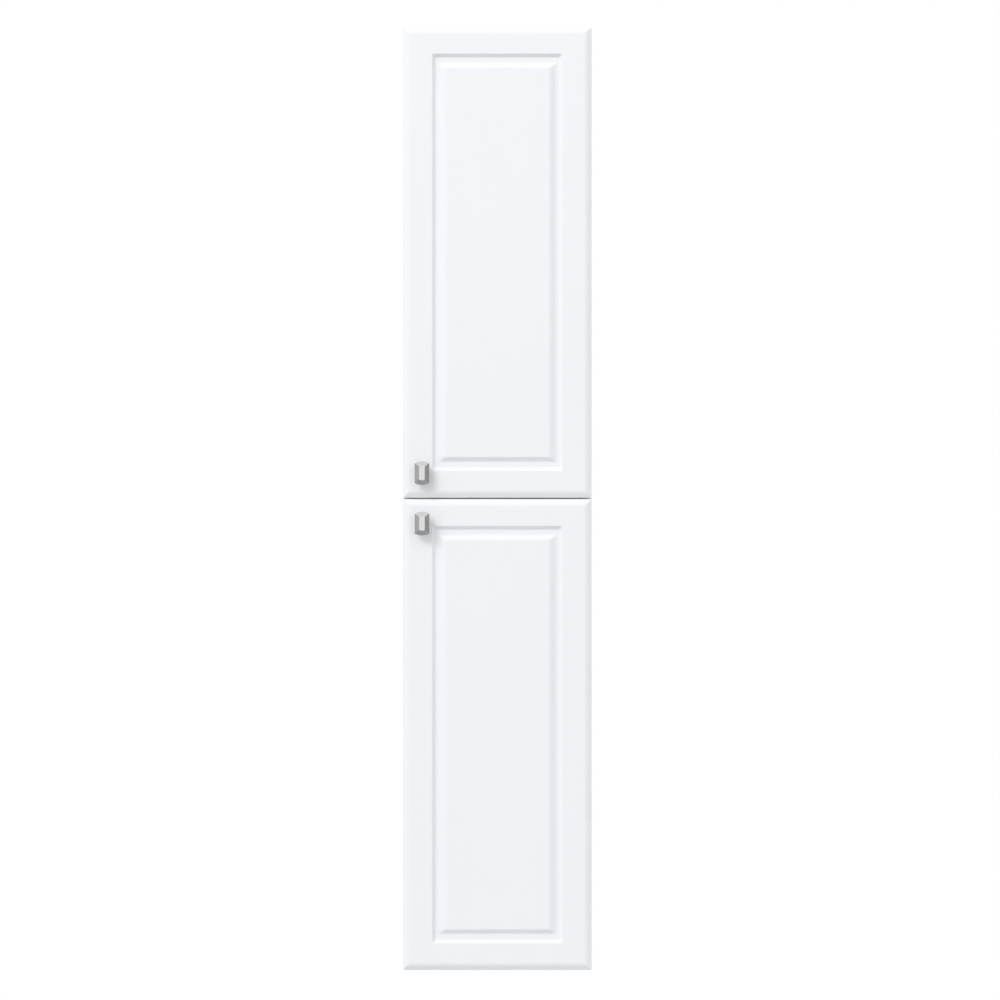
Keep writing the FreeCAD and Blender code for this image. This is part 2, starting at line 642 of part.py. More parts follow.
def arm_pins_at(z):
    """Pins of one arm: pivot A through the outer link, pivot C through the inner one."""
    a, c = PIVOT_A, PIVOT_C
    reach = LINK_OUTER[1] + 0.5
    return [rod((a[0], a[1], z - reach), (a[0], a[1], z + reach), PIVOT_A_RADIUS),
            rod((c[0], c[1], z - EAR_OUTER), (c[0], c[1], z + EAR_OUTER), SMALL_PIVOT_RADIUS)]


def arm_screws_at(z):
    """Side-adjusting screw and fixing screw of one arm, each with a cross in its head."""
    screws = []
    for y in ARM_SCREW_Y:
        head = rod((ARM_WEB_X - 1.4, y, z), (ARM_WEB_X, y, z), 3.2)
        shank = rod((ARM_WEB_X, y, z), (ARM_WEB_X + 15.0, y, z), 2.0)
        recess = cross_recess((ARM_WEB_X - 1.4, y, z), (0.8, 0, 0), 2.0)
        screws.append(fused([head, shank]).cut(recess))
    return screws


def hinge_arm(z):
    """Channel over the mounting plate, with a narrow nose that carries pivots A and C."""
    web = box(ARM_WEB_X, ARM_WEB_X + ARM_SHEET, ARM_FRONT, ARM_REAR, z - ARM_HALF, z + ARM_HALF)
    pieces = [web]
    for side in (-1, 1):
        pieces.append(box(ARM_WEB_X, INNER - 4.0, ARM_FRONT, ARM_REAR,
                          z + side * (ARM_HALF - ARM_SHEET), z + side * ARM_HALF))
        nose = upright_bar([PIVOT_C, (PIVOT_C[0], ARM_FRONT + 2.0)], 2.7,
                           min(z + side * EAR_INNER, z + side * EAR_OUTER),
                           max(z + side * EAR_INNER, z + side * EAR_OUTER))
        pieces.append(nose)
    pieces.append(box(PIVOT_C[0] - 2.7, PIVOT_C[0] - 1.3, CASE_FRONT - 0.3, ARM_FRONT + 1,
                      z - EAR_INNER, z + EAR_INNER))
    arm = fused(pieces)
    arm = eased(arm, 5.0, lambda e: abs(e.CenterOfMass.x - (INNER - 4.0)) < 0.1 and e.BoundBox.ZLength > 1)
    return arm.cut(arm_pins_at(z) + arm_screws_at(z))


def plate_screws(z):
    """Two pan-head system screws that hold one mounting plate."""
    screws = []
    for height in (z - SYSTEM_PITCH / 2, z + SYSTEM_PITCH / 2):
        face = INNER - PLATE_SHEET
        head = rod((face - 1.6, FRONT_HOLES_Y, height), (face, FRONT_HOLES_Y, height), 4.2)
        shank = rod((face, FRONT_HOLES_Y, height), (INNER + 11.0, FRONT_HOLES_Y, height), PLATE_SCREW_RADIUS)
        recess = cross_recess((face - 1.6, FRONT_HOLES_Y, height), (1.0, 0, 0), 2.2)
        screws.append(fused([head, shank]).cut(recess))
    return group(screws)


def hinge_plate(z):
    """Cross-shaped mounting plate with the raised block that the arm sits on."""
    wings = box(INNER - PLATE_SHEET, INNER, FRONT_HOLES_Y - 8.0, FRONT_HOLES_Y + 8.0, z - 26.0, z + 26.0)
    wings = eased(wings, 6.0, lambda e: e.BoundBox.XLength > 1 and e.BoundBox.ZLength < 1)
    block = box(ARM_WEB_X + ARM_SHEET, INNER, BLOCK_FRONT, BLOCK_REAR, z - BLOCK_HALF, z + BLOCK_HALF)
    plate = fused([wings, block])
    return plate.cut(arm_screws_at(z) + plate_screws(z).Solids)


def outer_link(z):
    """Cranked outer link: two cheeks outside the arm's nose, joined by a spacer."""
    path = shifted(PIVOT_A, OUTER_LINK_PATH) + [PIVOT_B]
    spacer = shifted(PIVOT_A, [OUTER_LINK_SPACER])[0]
    pieces = [rod((spacer[0], spacer[1], z - LINK_OUTER[0]), (spacer[0], spacer[1], z + LINK_OUTER[0]), 1.3)]
    for low, high in (LINK_OUTER, (-LINK_OUTER[1], -LINK_OUTER[0])):
        pieces.append(upright_bar(path, 2.2, z + low, z + high))
        pieces.append(rod((PIVOT_A[0], PIVOT_A[1], z + low), (PIVOT_A[0], PIVOT_A[1], z + high), 3.0))
        pieces.append(upright_bar([spacer, path[1]], 2.2, z + low, z + high))
    holes = [rod((PIVOT_A[0], PIVOT_A[1], z - 8), (PIVOT_A[0], PIVOT_A[1], z + 8), PIVOT_A_RADIUS + RUNNING),
             rod((PIVOT_B[0], PIVOT_B[1], z - 8), (PIVOT_B[0], PIVOT_B[1], z + 8),
                 SMALL_PIVOT_RADIUS + RUNNING)]
    return fused(pieces).cut(holes)


def inner_link(z):
    """Slim inner link; its cup end is an open socket with room for the pin's small travel."""
    low, high = z - LINK_INNER, z + LINK_INNER
    bar = upright_bar(shifted(PIVOT_C, INNER_LINK_PATH), 1.3, low, high)
    eye = rod((PIVOT_C[0], PIVOT_C[1], low), (PIVOT_C[0], PIVOT_C[1], high), 2.2)
    x, y = shifted(PIVOT_D, [SOCKET])[0]
    cuts = [rod((PIVOT_C[0], PIVOT_C[1], low), (PIVOT_C[0], PIVOT_C[1], high), SMALL_PIVOT_RADIUS + RUNNING),
            rod((x, y, low), (x, y, high), SOCKET_RADIUS)]
    return fused([bar, eye]).cut(cuts)


# ---------------------------------------------------------------- all nodes
def case_nodes():
    nodes = {
        "left_side_panel": side_panel(-1),
        "right_side_panel": side_panel(1),
        "top_panel": cross_panel(TOP_Z - BOARD / 2, 0.0),
        "bottom_panel": cross_panel(BOTTOM_Z + BOARD / 2, 0.0),
        "fixed_middle_shelf": cross_panel(SEAM_Z, -BACK_FRONT),
        "back_panel": back_panel(),
        "lower_mounting_rail": lower_mounting_rail(),
        "rail_screws": group([rail_screw(side, z) for side in (-1, 1) for z in RAIL_SCREW_Z]),
        "cam_locks": cam_locks(),
        "cam_bolts": cam_bolts(),
        "wood_dowels": wood_dowels(),
        "hanger_adjusting_screws": hanger_adjusting_screws(),
    }
    for name, side in (("left", -1), ("right", 1)):
        nodes["hanger_body_" + name] = hanger_body(side)
        nodes["hanger_hook_" + name] = hanger_hook(side)
        nodes["wall_plate_" + name] = wall_plate(side)
    for name, level in SHELF_LEVELS.items():
        nodes[name] = shelf(level)
        nodes[name + "_pins"] = shelf_pins(level)
    return nodes


def door_nodes(name, door):
    top_hinge, bottom_hinge = hinge_heights(door)
    nodes = {
        name + "_door_leaf": door_leaf(door),
        name + "_knob": knob(door),
        name + "_knob_screw": knob_screw(door),
        name + "_door_bumpers": bumpers(door),
        name + "_cup_screws": cup_screws(door),
        name + "_cup_pins": cup_pins(door),
        name + "_outer_links": group([outer_link(top_hinge), outer_link(bottom_hinge)]),
        name + "_inner_links": group([inner_link(top_hinge), inner_link(bottom_hinge)]),
    }
    for place, z in (("top", top_hinge), ("bottom", bottom_hinge)):
        nodes[name + "_" + place + "_hinge_cup"] = hinge_cup(z)
        nodes[name + "_" + place + "_hinge_arm"] = hinge_arm(z)
        nodes[name + "_" + place + "_hinge_plate"] = hinge_plate(z)
    return nodes


def hinge_hardware():
    heights = hinge_heights()
    return {
        "hinge_plate_screws": group([plate_screws(z) for z in heights]),
        "hinge_adjusting_screws": group([screw for z in heights for screw in arm_screws_at(z)]),
        "hinge_arm_pins": group([pin for z in heights for pin in arm_pins_at(z)]),
    }


def main():
    os.makedirs("parts", exist_ok=True)
    nodes = case_nodes()
    nodes.update(door_nodes("upper", UPPER_DOOR))
    nodes.update(door_nodes("lower", LOWER_DOOR))
    nodes.update(hinge_hardware())
    for name, shape in nodes.items():
        shape.exportStep("parts/" + name + ".step")
        print(name, len(shape.Solids), shape.isValid(), round(shape.Volume / 1000, 2), "cm3")
    print(len(nodes), "nodes")


main()
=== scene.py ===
"""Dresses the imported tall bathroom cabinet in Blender: routed foil doors, chrome knobs, boards,
glass shelves, concealed hinges, hangers and fastenings, in a plain white studio.

Metres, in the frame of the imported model: +X to the right, +Y into the wall, +Z up.
"""
import json
import math

import bmesh
import bpy
from bpy.props import FloatProperty, FloatVectorProperty, PointerProperty
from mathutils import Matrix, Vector


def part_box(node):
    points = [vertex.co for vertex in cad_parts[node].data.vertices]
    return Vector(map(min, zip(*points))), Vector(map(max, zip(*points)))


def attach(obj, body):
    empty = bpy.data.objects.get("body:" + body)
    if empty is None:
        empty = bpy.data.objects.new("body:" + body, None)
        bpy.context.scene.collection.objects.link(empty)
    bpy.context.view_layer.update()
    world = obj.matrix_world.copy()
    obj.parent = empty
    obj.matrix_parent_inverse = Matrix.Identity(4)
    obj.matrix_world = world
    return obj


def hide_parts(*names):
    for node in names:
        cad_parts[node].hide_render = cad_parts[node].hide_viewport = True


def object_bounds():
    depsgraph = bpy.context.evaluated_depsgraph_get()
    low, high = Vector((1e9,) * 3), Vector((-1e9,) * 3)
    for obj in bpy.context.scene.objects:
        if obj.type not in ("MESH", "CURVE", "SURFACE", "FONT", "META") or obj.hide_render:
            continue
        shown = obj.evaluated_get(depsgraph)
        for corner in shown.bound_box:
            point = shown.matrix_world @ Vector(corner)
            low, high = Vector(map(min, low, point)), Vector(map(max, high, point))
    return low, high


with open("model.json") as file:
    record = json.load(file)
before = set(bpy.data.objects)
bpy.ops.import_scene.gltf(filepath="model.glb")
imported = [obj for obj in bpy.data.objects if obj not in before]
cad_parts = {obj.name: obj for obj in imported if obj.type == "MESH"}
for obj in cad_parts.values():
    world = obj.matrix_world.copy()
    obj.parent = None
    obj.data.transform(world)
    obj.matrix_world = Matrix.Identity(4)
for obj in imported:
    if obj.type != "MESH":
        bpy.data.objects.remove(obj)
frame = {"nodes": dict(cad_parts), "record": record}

bl_info = {
    "name": "Tall Bathroom Cabinet",
    "version": (1, 0, 0),
    "blender": (4, 5, 0),
    "location": "3D View > Sidebar > Cabinet",
    "description": "Builds the visible pieces of a tall wall cabinet around its packed frame",
    "category": "Object",
}

MM = 0.001
CAD_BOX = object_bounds()
BODY = {node: body for body, nodes in frame["record"]["behaviour"]["bodies"].items() for node in nodes}
SLOT = {node: obj.data.materials[0].name for node, obj in frame["nodes"].items()}
DOORS = ("upper", "lower")
BACKWARD = Vector((0, 1, 0))
FORWARD = Vector((0, -1, 0))
UPWARD = Vector((0, 0, 1))


# ------------------------------------------------------------------ what a user may change
def length(label, text, millimetres):
    return FloatProperty(name=label, description=text, default=millimetres * MM, min=0.0,
                         precision=5, subtype="DISTANCE", unit="LENGTH")


def colour(label, text, default):
    return FloatVectorProperty(name=label, description=text, default=default, size=3, min=0.0, max=1.0,
                               subtype="COLOR")


def share(label, text, default, high=1.0):
    return FloatProperty(name=label, description=text, default=default, min=0.0, max=high, subtype="FACTOR")


class DoorSizes(bpy.types.PropertyGroup):
    edge_roll: length("Edge roll", "Width of the arc that rolls off the face at the edges", 7.0)
    edge_slope: length("Edge slope", "Width of the slope outside that arc", 5.5)
    edge_angle: FloatProperty(name="Edge angle", description="Angle of that slope to the face",
                              default=math.radians(30), min=0.1, max=1.2, subtype="ANGLE")
    stile: length("Stile", "From the side edge to the moulding", 46.5)
    rail: length("Rail", "From the top or bottom edge to the moulding", 43.0)
    step: length("Step", "Width of the slope down into the moulding", 5.2)
    side_floor: length("Side floor", "Width of the moulding's floor at the sides", 5.0)
    end_floor: length("End floor", "Width of the moulding's floor at top and bottom", 10.0)
    side_slope: length("Side slope", "Width of the slope up to the raised field at the sides", 9.5)
    end_slope: length("End slope", "Width of that slope at top and bottom", 5.8)
    mould_depth: length("Moulding depth", "Depth of the floor under the face", 5.5)
    arris: length("Arris", "Radius of the outer edges", 0.8)
    soft: length("Softness", "Radius along both edges of the step", 1.8)
    side_soft: length("Side softness", "Radius at the foot and the top of the side slopes", 12.0)
    end_soft: length("End softness", "Radius at the foot and the top of the end slopes", 5.0)
    back_ease: length("Back ease", "Radius round the back of the leaf", 1.2)
    corner: length("Corner", "Radius of the leaf's corners, seen from the front", 1.0)
    mould_corner: length("Moulding corner", "Radius of the moulding's corners, seen from the front", 3.0)
    cup_inset: length("Cup inset", "From the hinge side to the centre of a cup", 23.5)
    cup_radius: length("Cup bore", "Radius of the cup bores", 17.5)
    cup_depth: length("Cup depth", "Depth of the cup bores", 12.0)
    screw_bore: length("Screw bore", "Radius of the bore for the knob screw", 2.05)


class KnobSizes(bpy.types.PropertyGroup):
    head: length("Head", "Thickness of the knob's head", 10.0)
    bevel: length("Bevel", "Width of the wide bevel", 7.2)
    fall: length("Fall", "How far that bevel falls back", 6.0)
    arch: length("Arch", "Rise of the arched top and bottom ends", 3.0)
    arris: length("Arris", "Softness of the polished edges", 0.45)
    stem: length("Stem", "Radius of the stem", 6.0)
    foot: length("Foot", "Radius of the flared foot", 8.5)
    foot_height: length("Foot height", "Height of the flare", 4.0)


class FasteningSizes(bpy.types.PropertyGroup):
    pan: length("Pan head", "Radius of the system and knob screws' heads", 4.2)
    adjusting: length("Adjusting head", "Radius of the arm screws' heads", 3.2)
    countersunk: length("Countersunk head", "Radius of the cup screws' heads", 3.5)
    rail_head: length("Rail screw head", "Radius of the rail screws' heads", 4.5)
    hanger_head: length("Hanger screw head", "Radius of the hangers' adjusting screws' heads", 4.5)
    flute: length("Flute", "Depth of the dowels' flutes", 0.22)
    pressed: length("Pressed edge", "Softness of pressed and cast edges", 0.25)


class Finishes(bpy.types.PropertyGroup):
    foil: colour("Foil", "Satin foil of the doors", (0.902, 0.908, 0.936))
    board: colour("Board", "White facing of the case boards", (0.91, 0.91, 0.92))
    chip: colour("Chipboard", "Particle core where a board is cut", (0.52, 0.38, 0.24))
    beech: colour("Beech", "Dowels", (0.62, 0.43, 0.25))
    chrome: colour("Chrome", "Knobs", (0.78, 0.78, 0.79))
    nickel: colour("Nickel", "Hinges", (0.84, 0.83, 0.81))
    zinc: colour("Zinc plate", "Plates, hooks and screws", (0.66, 0.67, 0.69))
    cast: colour("Cast zinc", "Cams", (0.52, 0.52, 0.53))
    glass: colour("Glass", "Body tint of the shelves", (0.93, 0.985, 0.965))
    glass_edge: colour("Glass edge", "Tint gathered at the polished edges", (0.2, 0.42, 0.33))
    plastic: colour("Plastic", "Hangers", (0.9, 0.9, 0.89))
    rubber: colour("Bumper", "Soft dots behind the doors", (0.82, 0.83, 0.84))


class Studio(bpy.types.PropertyGroup):
    view_width: length("View width", "What the camera sees across, at the doors", 1589.8)
    lens: FloatProperty(name="Lens", description="Focal length, with a 36 mm sensor", default=200.0,
                        unit="CAMERA")
    aim_x: FloatProperty(name="Aim across", description="Middle of the view", default=0.0043, unit="LENGTH")
    aim_z: FloatProperty(name="Aim height", description="Middle of the view", default=-0.6925, unit="LENGTH")
    floor_drop: length("Floor drop", "From the bottom of the cabinet to the floor", 360.0)
    ambient: share("Ambient", "Light from all round, at eye level", 1.26, 4.0)
    ceiling: share("Ceiling", "Share of that light from straight above", 0.4)
    key: share("Key", "Level of the lamp above, to the left and in front", 0.39, 4.0)
    fill: share("Fill", "Level of the lamp behind", 0.3, 4.0)


GROUPS = {"cabinet_door": DoorSizes, "cabinet_knob": KnobSizes, "cabinet_fastenings": FasteningSizes,
          "cabinet_finishes": Finishes, "cabinet_studio": Studio}


# ------------------------------------------------------------------ node trees
class Tree:
    """Writes the nodes of one geometry or shader tree."""

    def __init__(self, group):
        self.group = group

    def node(self, kind, inputs=None, **settings):
        made = self.group.nodes.new(kind)
        for name, value in settings.items():
            setattr(made, name, value)
        for key, value in (inputs or {}).items():
            for item in value if isinstance(value, list) else [value]:
                if isinstance(item, bpy.types.NodeSocket):
                    self.group.links.new(item, made.inputs[key])
                else:
                    made.inputs[key].default_value = item
        return made

    def out(self, kind, inputs=None, **settings):
        return self.node(kind, inputs, **settings).outputs[0]

    def math(self, operation, a, b=0.0):
        return self.out("ShaderNodeMath", {0: a, 1: b}, operation=operation)

    def times(self, a, b):
        return self.math("MULTIPLY", a, b)

    def plus(self, a, b):
        return self.math("ADD", a, b)

    def less(self, a, b):
        return self.math("SUBTRACT", a, b)

    def greater(self, a, b):
        """1 where a is greater than b, and 0 elsewhere."""
        return self.math("GREATER_THAN", a, b)

    def greatest(self, a, b):
        return self.math("MAXIMUM", a, b)

    def ramp(self, value, first, last, start, end, curve="LINEAR"):
        """start to end as value goes from first to last, and level beyond them."""
        return self.out("ShaderNodeMapRange", {"Value": value, "From Min": first, "From Max": last,
                                               "To Min": start, "To Max": end}, interpolation_type=curve)

    def vector(self, x=0.0, y=0.0, z=0.0):
        return self.out("ShaderNodeCombineXYZ", {"X": x, "Y": y, "Z": z})

    def axes(self, vector):
        """X, Y and Z of a vector, as three sockets."""
        return self.node("ShaderNodeSeparateXYZ", {0: vector}).outputs

    def own_place(self):
        """Place of a point of the object, in the object's own coordinates."""
        return self.node("ShaderNodeTexCoord").outputs["Object"]


# ------------------------------------------------------------------ finishes
DARK_FIBRE = (0.3, 0.19, 0.1)
PALE_FIBRE = (0.46, 0.31, 0.18)


def grain(tree, scale, detail=2.0, stretch=(1.0, 1.0, 1.0)):
    """Noise on the object's own coordinates; scale counts blotches to the metre."""
    place = tree.out("ShaderNodeMapping", {"Vector": tree.own_place(), "Scale": stretch})
    return tree.out("ShaderNodeTexNoise", {"Vector": place, "Scale": scale, "Detail": detail})


def between(tree, noise, low, high):
    """Spreads the middle of a noise over low to high."""
    return tree.ramp(noise, 0.3, 0.7, low, high)


def mixed(tree, factor, first, second):
    """Colour from first to second as factor goes from 0 to 1."""
    first, second = (end if isinstance(end, bpy.types.NodeSocket) else (*end, 1.0) for end in (first, second))
    return tree.node("ShaderNodeMix", {0: factor, 6: first, 7: second}, data_type="RGBA").outputs[2]


def scaled(shade, factor):
    return tuple(channel * factor for channel in shade)


def clouded(tree, shade, darkest, scale, detail=2.0):
    """The shade with soft clouds, which go down to darkest times the shade."""
    clouds = between(tree, grain(tree, scale, detail), 0.0, 1.0)
    return mixed(tree, clouds, scaled(shade, darkest), shade)


def relief(tree, height, depth, strength=0.5):
    """Bump from a noise, as deep as that many millimetres."""
    return tree.out("ShaderNodeBump", {"Height": height, "Distance": depth * MM, "Strength": strength})


def within(tree, value, low, high):
    return tree.times(tree.greater(value, low), tree.math("LESS_THAN", value, high))


class Finish(Tree):
    """Tree of a new material, some of whose shader's sockets have one value all over."""

    def __init__(self, name, **uniform):
        self.material = bpy.data.materials.new(name)
        self.material.use_nodes = True
        super().__init__(self.material.node_tree)
        self.shader = self.group.nodes["Principled BSDF"]
        for socket, value in uniform.items():
            self.shader.inputs[socket.replace("_", " ")].default_value = value

    def wired(self, **links):
        """The material, once these sources are linked to the shader's sockets."""
        for socket, source in links.items():
            self.group.links.new(source, self.shader.inputs[socket.replace("_", " ")])
        return self.material


def foil_finish(shades):
    """Smooth satin foil: faint clouding, a fine orange-peel skin and uneven gloss."""
    tree = Finish("satin_foil")
    return tree.wired(
        Base_Color=clouded(tree, shades.foil, 0.992, 4.0),
        Roughness=between(tree, grain(tree, 55.0, 3.0), 0.3, 0.38),
        Normal=relief(tree, grain(tree, 650.0, 3.0), 0.02))


def chipboard(tree, shades):
    """Colour of a cut particle board: pressed flakes of several browns."""
    place = tree.out("ShaderNodeMapping", {"Vector": tree.own_place(), "Scale": (1.0, 1.0, 0.45)})
    flakes = tree.node("ShaderNodeTexVoronoi", {"Vector": place, "Scale": 520.0}).outputs["Color"]
    return mixed(tree, tree.axes(flakes)[0], scaled(shades.chip, 0.6), scaled(shades.chip, 1.35))


def board_finish(shades):
    """White melamine with a pearl grain; the core shows in holes and on the rear edges."""
    tree = Finish("melamine_board")
    low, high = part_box("right_side_panel")
    skin, front_band = 0.25 * MM, 1.0 * MM
    x, y, z = tree.axes(tree.own_place())
    inside = tree.times(within(tree, tree.math("ABSOLUTE", x), low.x + skin, high.x - skin),
                        within(tree, z, low.z + skin, high.z - skin))
    inside = tree.times(inside, tree.greater(y, low.y + front_band))
    cut = tree.greatest(inside, tree.greater(y, high.y - skin))
    pearl = grain(tree, 900.0, 4.0)
    return tree.wired(
        Base_Color=mixed(tree, cut, clouded(tree, shades.board, 0.985, 5.0), chipboard(tree, shades)),
        Roughness=tree.plus(between(tree, pearl, 0.4, 0.5), tree.times(cut, 0.35)),
        Normal=relief(tree, pearl, 0.05))


def back_finish(shades):
    """Thin hardboard: painted towards the room, brown fibre towards the wall."""
    tree = Finish("painted_hardboard")
    low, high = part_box("back_panel")
    rear = tree.greater(tree.axes(tree.own_place())[1], (low.y + high.y * 3) / 4)
    fibre = mixed(tree, between(tree, grain(tree, 240.0, 5.0), 0.0, 1.0), DARK_FIBRE, PALE_FIBRE)
    return tree.wired(
        Base_Color=mixed(tree, rear, clouded(tree, shades.board, 0.97, 8.0), fibre),
        Roughness=between(tree, grain(tree, 120.0, 3.0), 0.55, 0.7),
        Normal=relief(tree, grain(tree, 700.0, 5.0), 0.1))


def rail_finish(shades):
    """White-faced board, matt, with its core showing along the top and bottom edges."""
    tree = Finish("faced_rail")
    low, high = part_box("lower_mounting_rail")
    skin = 0.3 * MM
    faced = within(tree, tree.axes(tree.own_place())[2], low.z + skin, high.z - skin)
    return tree.wired(
        Base_Color=mixed(tree, faced, chipboard(tree, shades), scaled(shades.board, 0.97)),
        Roughness=between(tree, grain(tree, 200.0, 3.0), 0.5, 0.65),
        Normal=relief(tree, grain(tree, 900.0, 4.0), 0.06))


def beech_finish(shades):
    """Beech with short fine rays along the dowel."""
    tree = Finish("beech")
    rays = grain(tree, 900.0, 4.0, (0.06, 1.0, 1.0))
    return tree.wired(
        Base_Color=mixed(tree, between(tree, rays, 0.0, 1.0), scaled(shades.beech, 0.78),
                         scaled(shades.beech, 1.12)),
        Roughness=between(tree, rays, 0.55, 0.75),
        Normal=relief(tree, rays, 0.1))


def metal_finish(name, shade, roughness, streaks, depth, anisotropic=0.0):
    """Plated metal: faint tarnish in the colour, drawn streaks in the gloss and the relief."""
    tree = Finish(name, Metallic=1.0, Anisotropic=anisotropic)
    drawn = grain(tree, 420.0, 3.0, streaks)
    return tree.wired(
        Base_Color=clouded(tree, shade, 0.95, 35.0, 3.0),
        Roughness=between(tree, drawn, roughness * 0.75, roughness * 1.25),
        Normal=relief(tree, drawn, depth, 0.3))


def glass_finish(shades):
    """Clear float glass; its polished edges gather the green of its depth."""
    tree = Finish("float_glass", IOR=1.5)
    low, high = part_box("upper_bay_low_shelf")
    edge = 1.3 * MM
    x, y, _ = tree.axes(tree.own_place())
    sides = tree.greater(tree.math("ABSOLUTE", x), high.x - edge)
    ends = tree.less(1.0, within(tree, y, low.y + edge, high.y - edge))
    rim = tree.greatest(sides, ends)
    return tree.wired(
        Base_Color=mixed(tree, rim, shades.glass, shades.glass_edge),
        Transmission_Weight=tree.less(1.0, tree.times(rim, 0.6)),
        Roughness=between(tree, grain(tree, 30.0, 3.0), 0.0, 0.02))


def moulded_finish(name, shade, roughness, depth, **uniform):
    """Moulded plastic or rubber with a spark-eroded skin."""
    tree = Finish(name, **uniform)
    skin = grain(tree, 1400.0, 3.0)
    return tree.wired(
        Base_Color=clouded(tree, shade, 0.97, 20.0),
        Roughness=between(tree, skin, roughness - 0.06, roughness + 0.06),
        Normal=relief(tree, skin, depth))


def all_finishes(shades):
    """One material for each material slot of the record."""
    return {
        "door_foil": foil_finish(shades),
        "case_board": board_finish(shades),
        "back_board": back_finish(shades),
        "rail_wood": rail_finish(shades),
        "dowel_wood": beech_finish(shades),
        "knob_chrome": metal_finish("chrome_plate", shades.chrome, 0.1, (1.0, 1.0, 0.15), 0.004),
        "shelf_glass": glass_finish(shades),
        "hanger_plastic": moulded_finish("white_moulding", shades.plastic, 0.45, 0.06),
        "bumper_rubber": moulded_finish("soft_dot", shades.rubber, 0.35, 0.02, Transmission_Weight=0.4,
                                        Subsurface_Weight=0.2),
        "cast_zinc": metal_finish("cast_zinc", shades.cast, 0.45, (1.0, 1.0, 1.0), 0.08),
        "zinc_steel": metal_finish("zinc_plate", shades.zinc, 0.34, (1.0, 1.0, 0.1), 0.02),
        "hinge_nickel": metal_finish("nickel_plate", shades.nickel, 0.24, (1.0, 0.1, 1.0), 0.01,
                                     anisotropic=0.3),
        "screw_steel": metal_finish("screw_zinc", scaled(shades.zinc, 0.92), 0.3, (1.0, 1.0, 1.0), 0.02),
    }


def finish_of(node):
    """The material of a CAD node's slot; all are made on the first call."""
    if "satin_foil" not in bpy.data.materials:
        made = all_finishes(bpy.context.scene.cabinet_finishes)
        for slot, material in made.items():
            material["slot"] = slot
    return next(m for m in bpy.data.materials if m.get("slot") == SLOT[node])


# ------------------------------------------------------------------ meshes and pieces
CREASE = 32.0               # edges that turn by more degrees are drawn sharp
ONE_FACE = 0.8              # CAD triangles that turn by fewer degrees are one face
SAME_CORNER = 0.002 * MM    # CAD triangles' corners that lie closer are one corner


def loose(mesh, name="work"):
    """New object at the origin: a finished piece, or one that carries modifiers for a while."""
    obj = bpy.data.objects.new(name, mesh)
    bpy.context.scene.collection.objects.link(obj)
    return obj


def settled(obj):
    """Plain mesh of an object with its modifiers used up; the object goes."""
    graph = bpy.context.evaluated_depsgraph_get()
    mesh = bpy.data.meshes.new_from_object(obj.evaluated_get(graph), depsgraph=graph)
    bpy.data.objects.remove(obj)
    return mesh


def shaded(mesh, crease=CREASE):
    """Smooth faces, creases at sharp edges, and normals led by the large faces."""
    mesh.polygons.foreach_set("use_smooth", [True] * len(mesh.polygons))
    mesh.set_sharp_from_angle(angle=math.radians(crease))
    obj = loose(mesh)
    weighted = obj.modifiers.new("even normals", "WEIGHTED_NORMAL")
    weighted.keep_sharp = True
    return settled(obj)


def eased(mesh, width, above=30.0, segments=3):
    """Rounds the edges that turn by more than an angle."""
    obj = loose(mesh)
    bevel = obj.modifiers.new("eased edges", "BEVEL")
    bevel.width = width
    bevel.segments = segments
    bevel.limit_method = "ANGLE"
    bevel.angle_limit = math.radians(above)
    return settled(obj)


def add_piece(name, mesh, *nodes):
    """A finished mesh takes the place of CAD nodes, on their body and in their finish."""
    mesh.name = name
    mesh.materials.clear()
    mesh.materials.append(finish_of(nodes[0]))
    obj = loose(mesh, name)
    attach(obj, BODY[nodes[0]])
    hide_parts(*nodes)


def dress_nodes(*nodes):
    """CAD nodes whose shape stays get their finish."""
    for node in nodes:
        for place in frame["nodes"][node].material_slots:
            place.material = finish_of(node)


def mesh_of(form, name):
    """Plain mesh of a bmesh, which goes."""
    mesh = bpy.data.meshes.new(name)
    form.to_mesh(mesh)
    form.free()
    return mesh


def skin_rings(rings):
    """Closed mesh from rings of points, with a face over the first and the last."""
    form = bmesh.new()
    loops = [[form.verts.new(point) for point in ring] for ring in rings]
    for here, there in zip(loops, loops[1:]):
        for i in range(len(here)):
            j = (i + 1) % len(here)
            form.faces.new((here[i], here[j], there[j], there[i]))
    form.faces.new(loops[0])
    form.faces.new(loops[-1])
    bmesh.ops.recalc_face_normals(form, faces=form.faces)
    return mesh_of(form, "rings")


def joined(meshes):
    """Several closed meshes in one."""
    form = bmesh.new()
    for mesh in meshes:
        form.from_mesh(mesh)
    return mesh_of(form, "joined")


def merged(node):
    """Copy of a CAD node's triangles with shared corners, as a bmesh."""
    form = bmesh.new()
    form.from_mesh(frame["nodes"][node].data)
    bmesh.ops.remove_doubles(form, verts=form.verts, dist=SAME_CORNER)
    return form


def solids(node):
    """Boxes of a CAD node's separate solids: (lowest corner, highest corner) of each."""
    form = merged(node)
    boxes, seen = [], set()
    for start in form.verts:
        if start in seen:
            continue
        seen.add(start)
        island, front = [], [start]
        while front:
            corner = front.pop()
            island.append(corner.co.copy())
            for edge in corner.link_edges:
                other = edge.other_vert(corner)
                if other not in seen:
                    seen.add(other)
                    front.append(other)
        boxes.append((Vector(map(min, zip(*island))), Vector(map(max, zip(*island)))))
    form.free()
    return boxes


def soften(nodes, ending):
    """Pieces with the shapes of CAD nodes, but with their triangles gathered and their edges rounded."""
    width = bpy.context.scene.cabinet_fastenings.pressed
    for node in nodes:
        form = merged(node)
        bmesh.ops.dissolve_limit(form, angle_limit=math.radians(ONE_FACE), verts=form.verts, edges=form.edges)
        mesh = eased(mesh_of(form, node), width, above=38.0, segments=2)
        add_piece(node + ending, shaded(mesh), node)


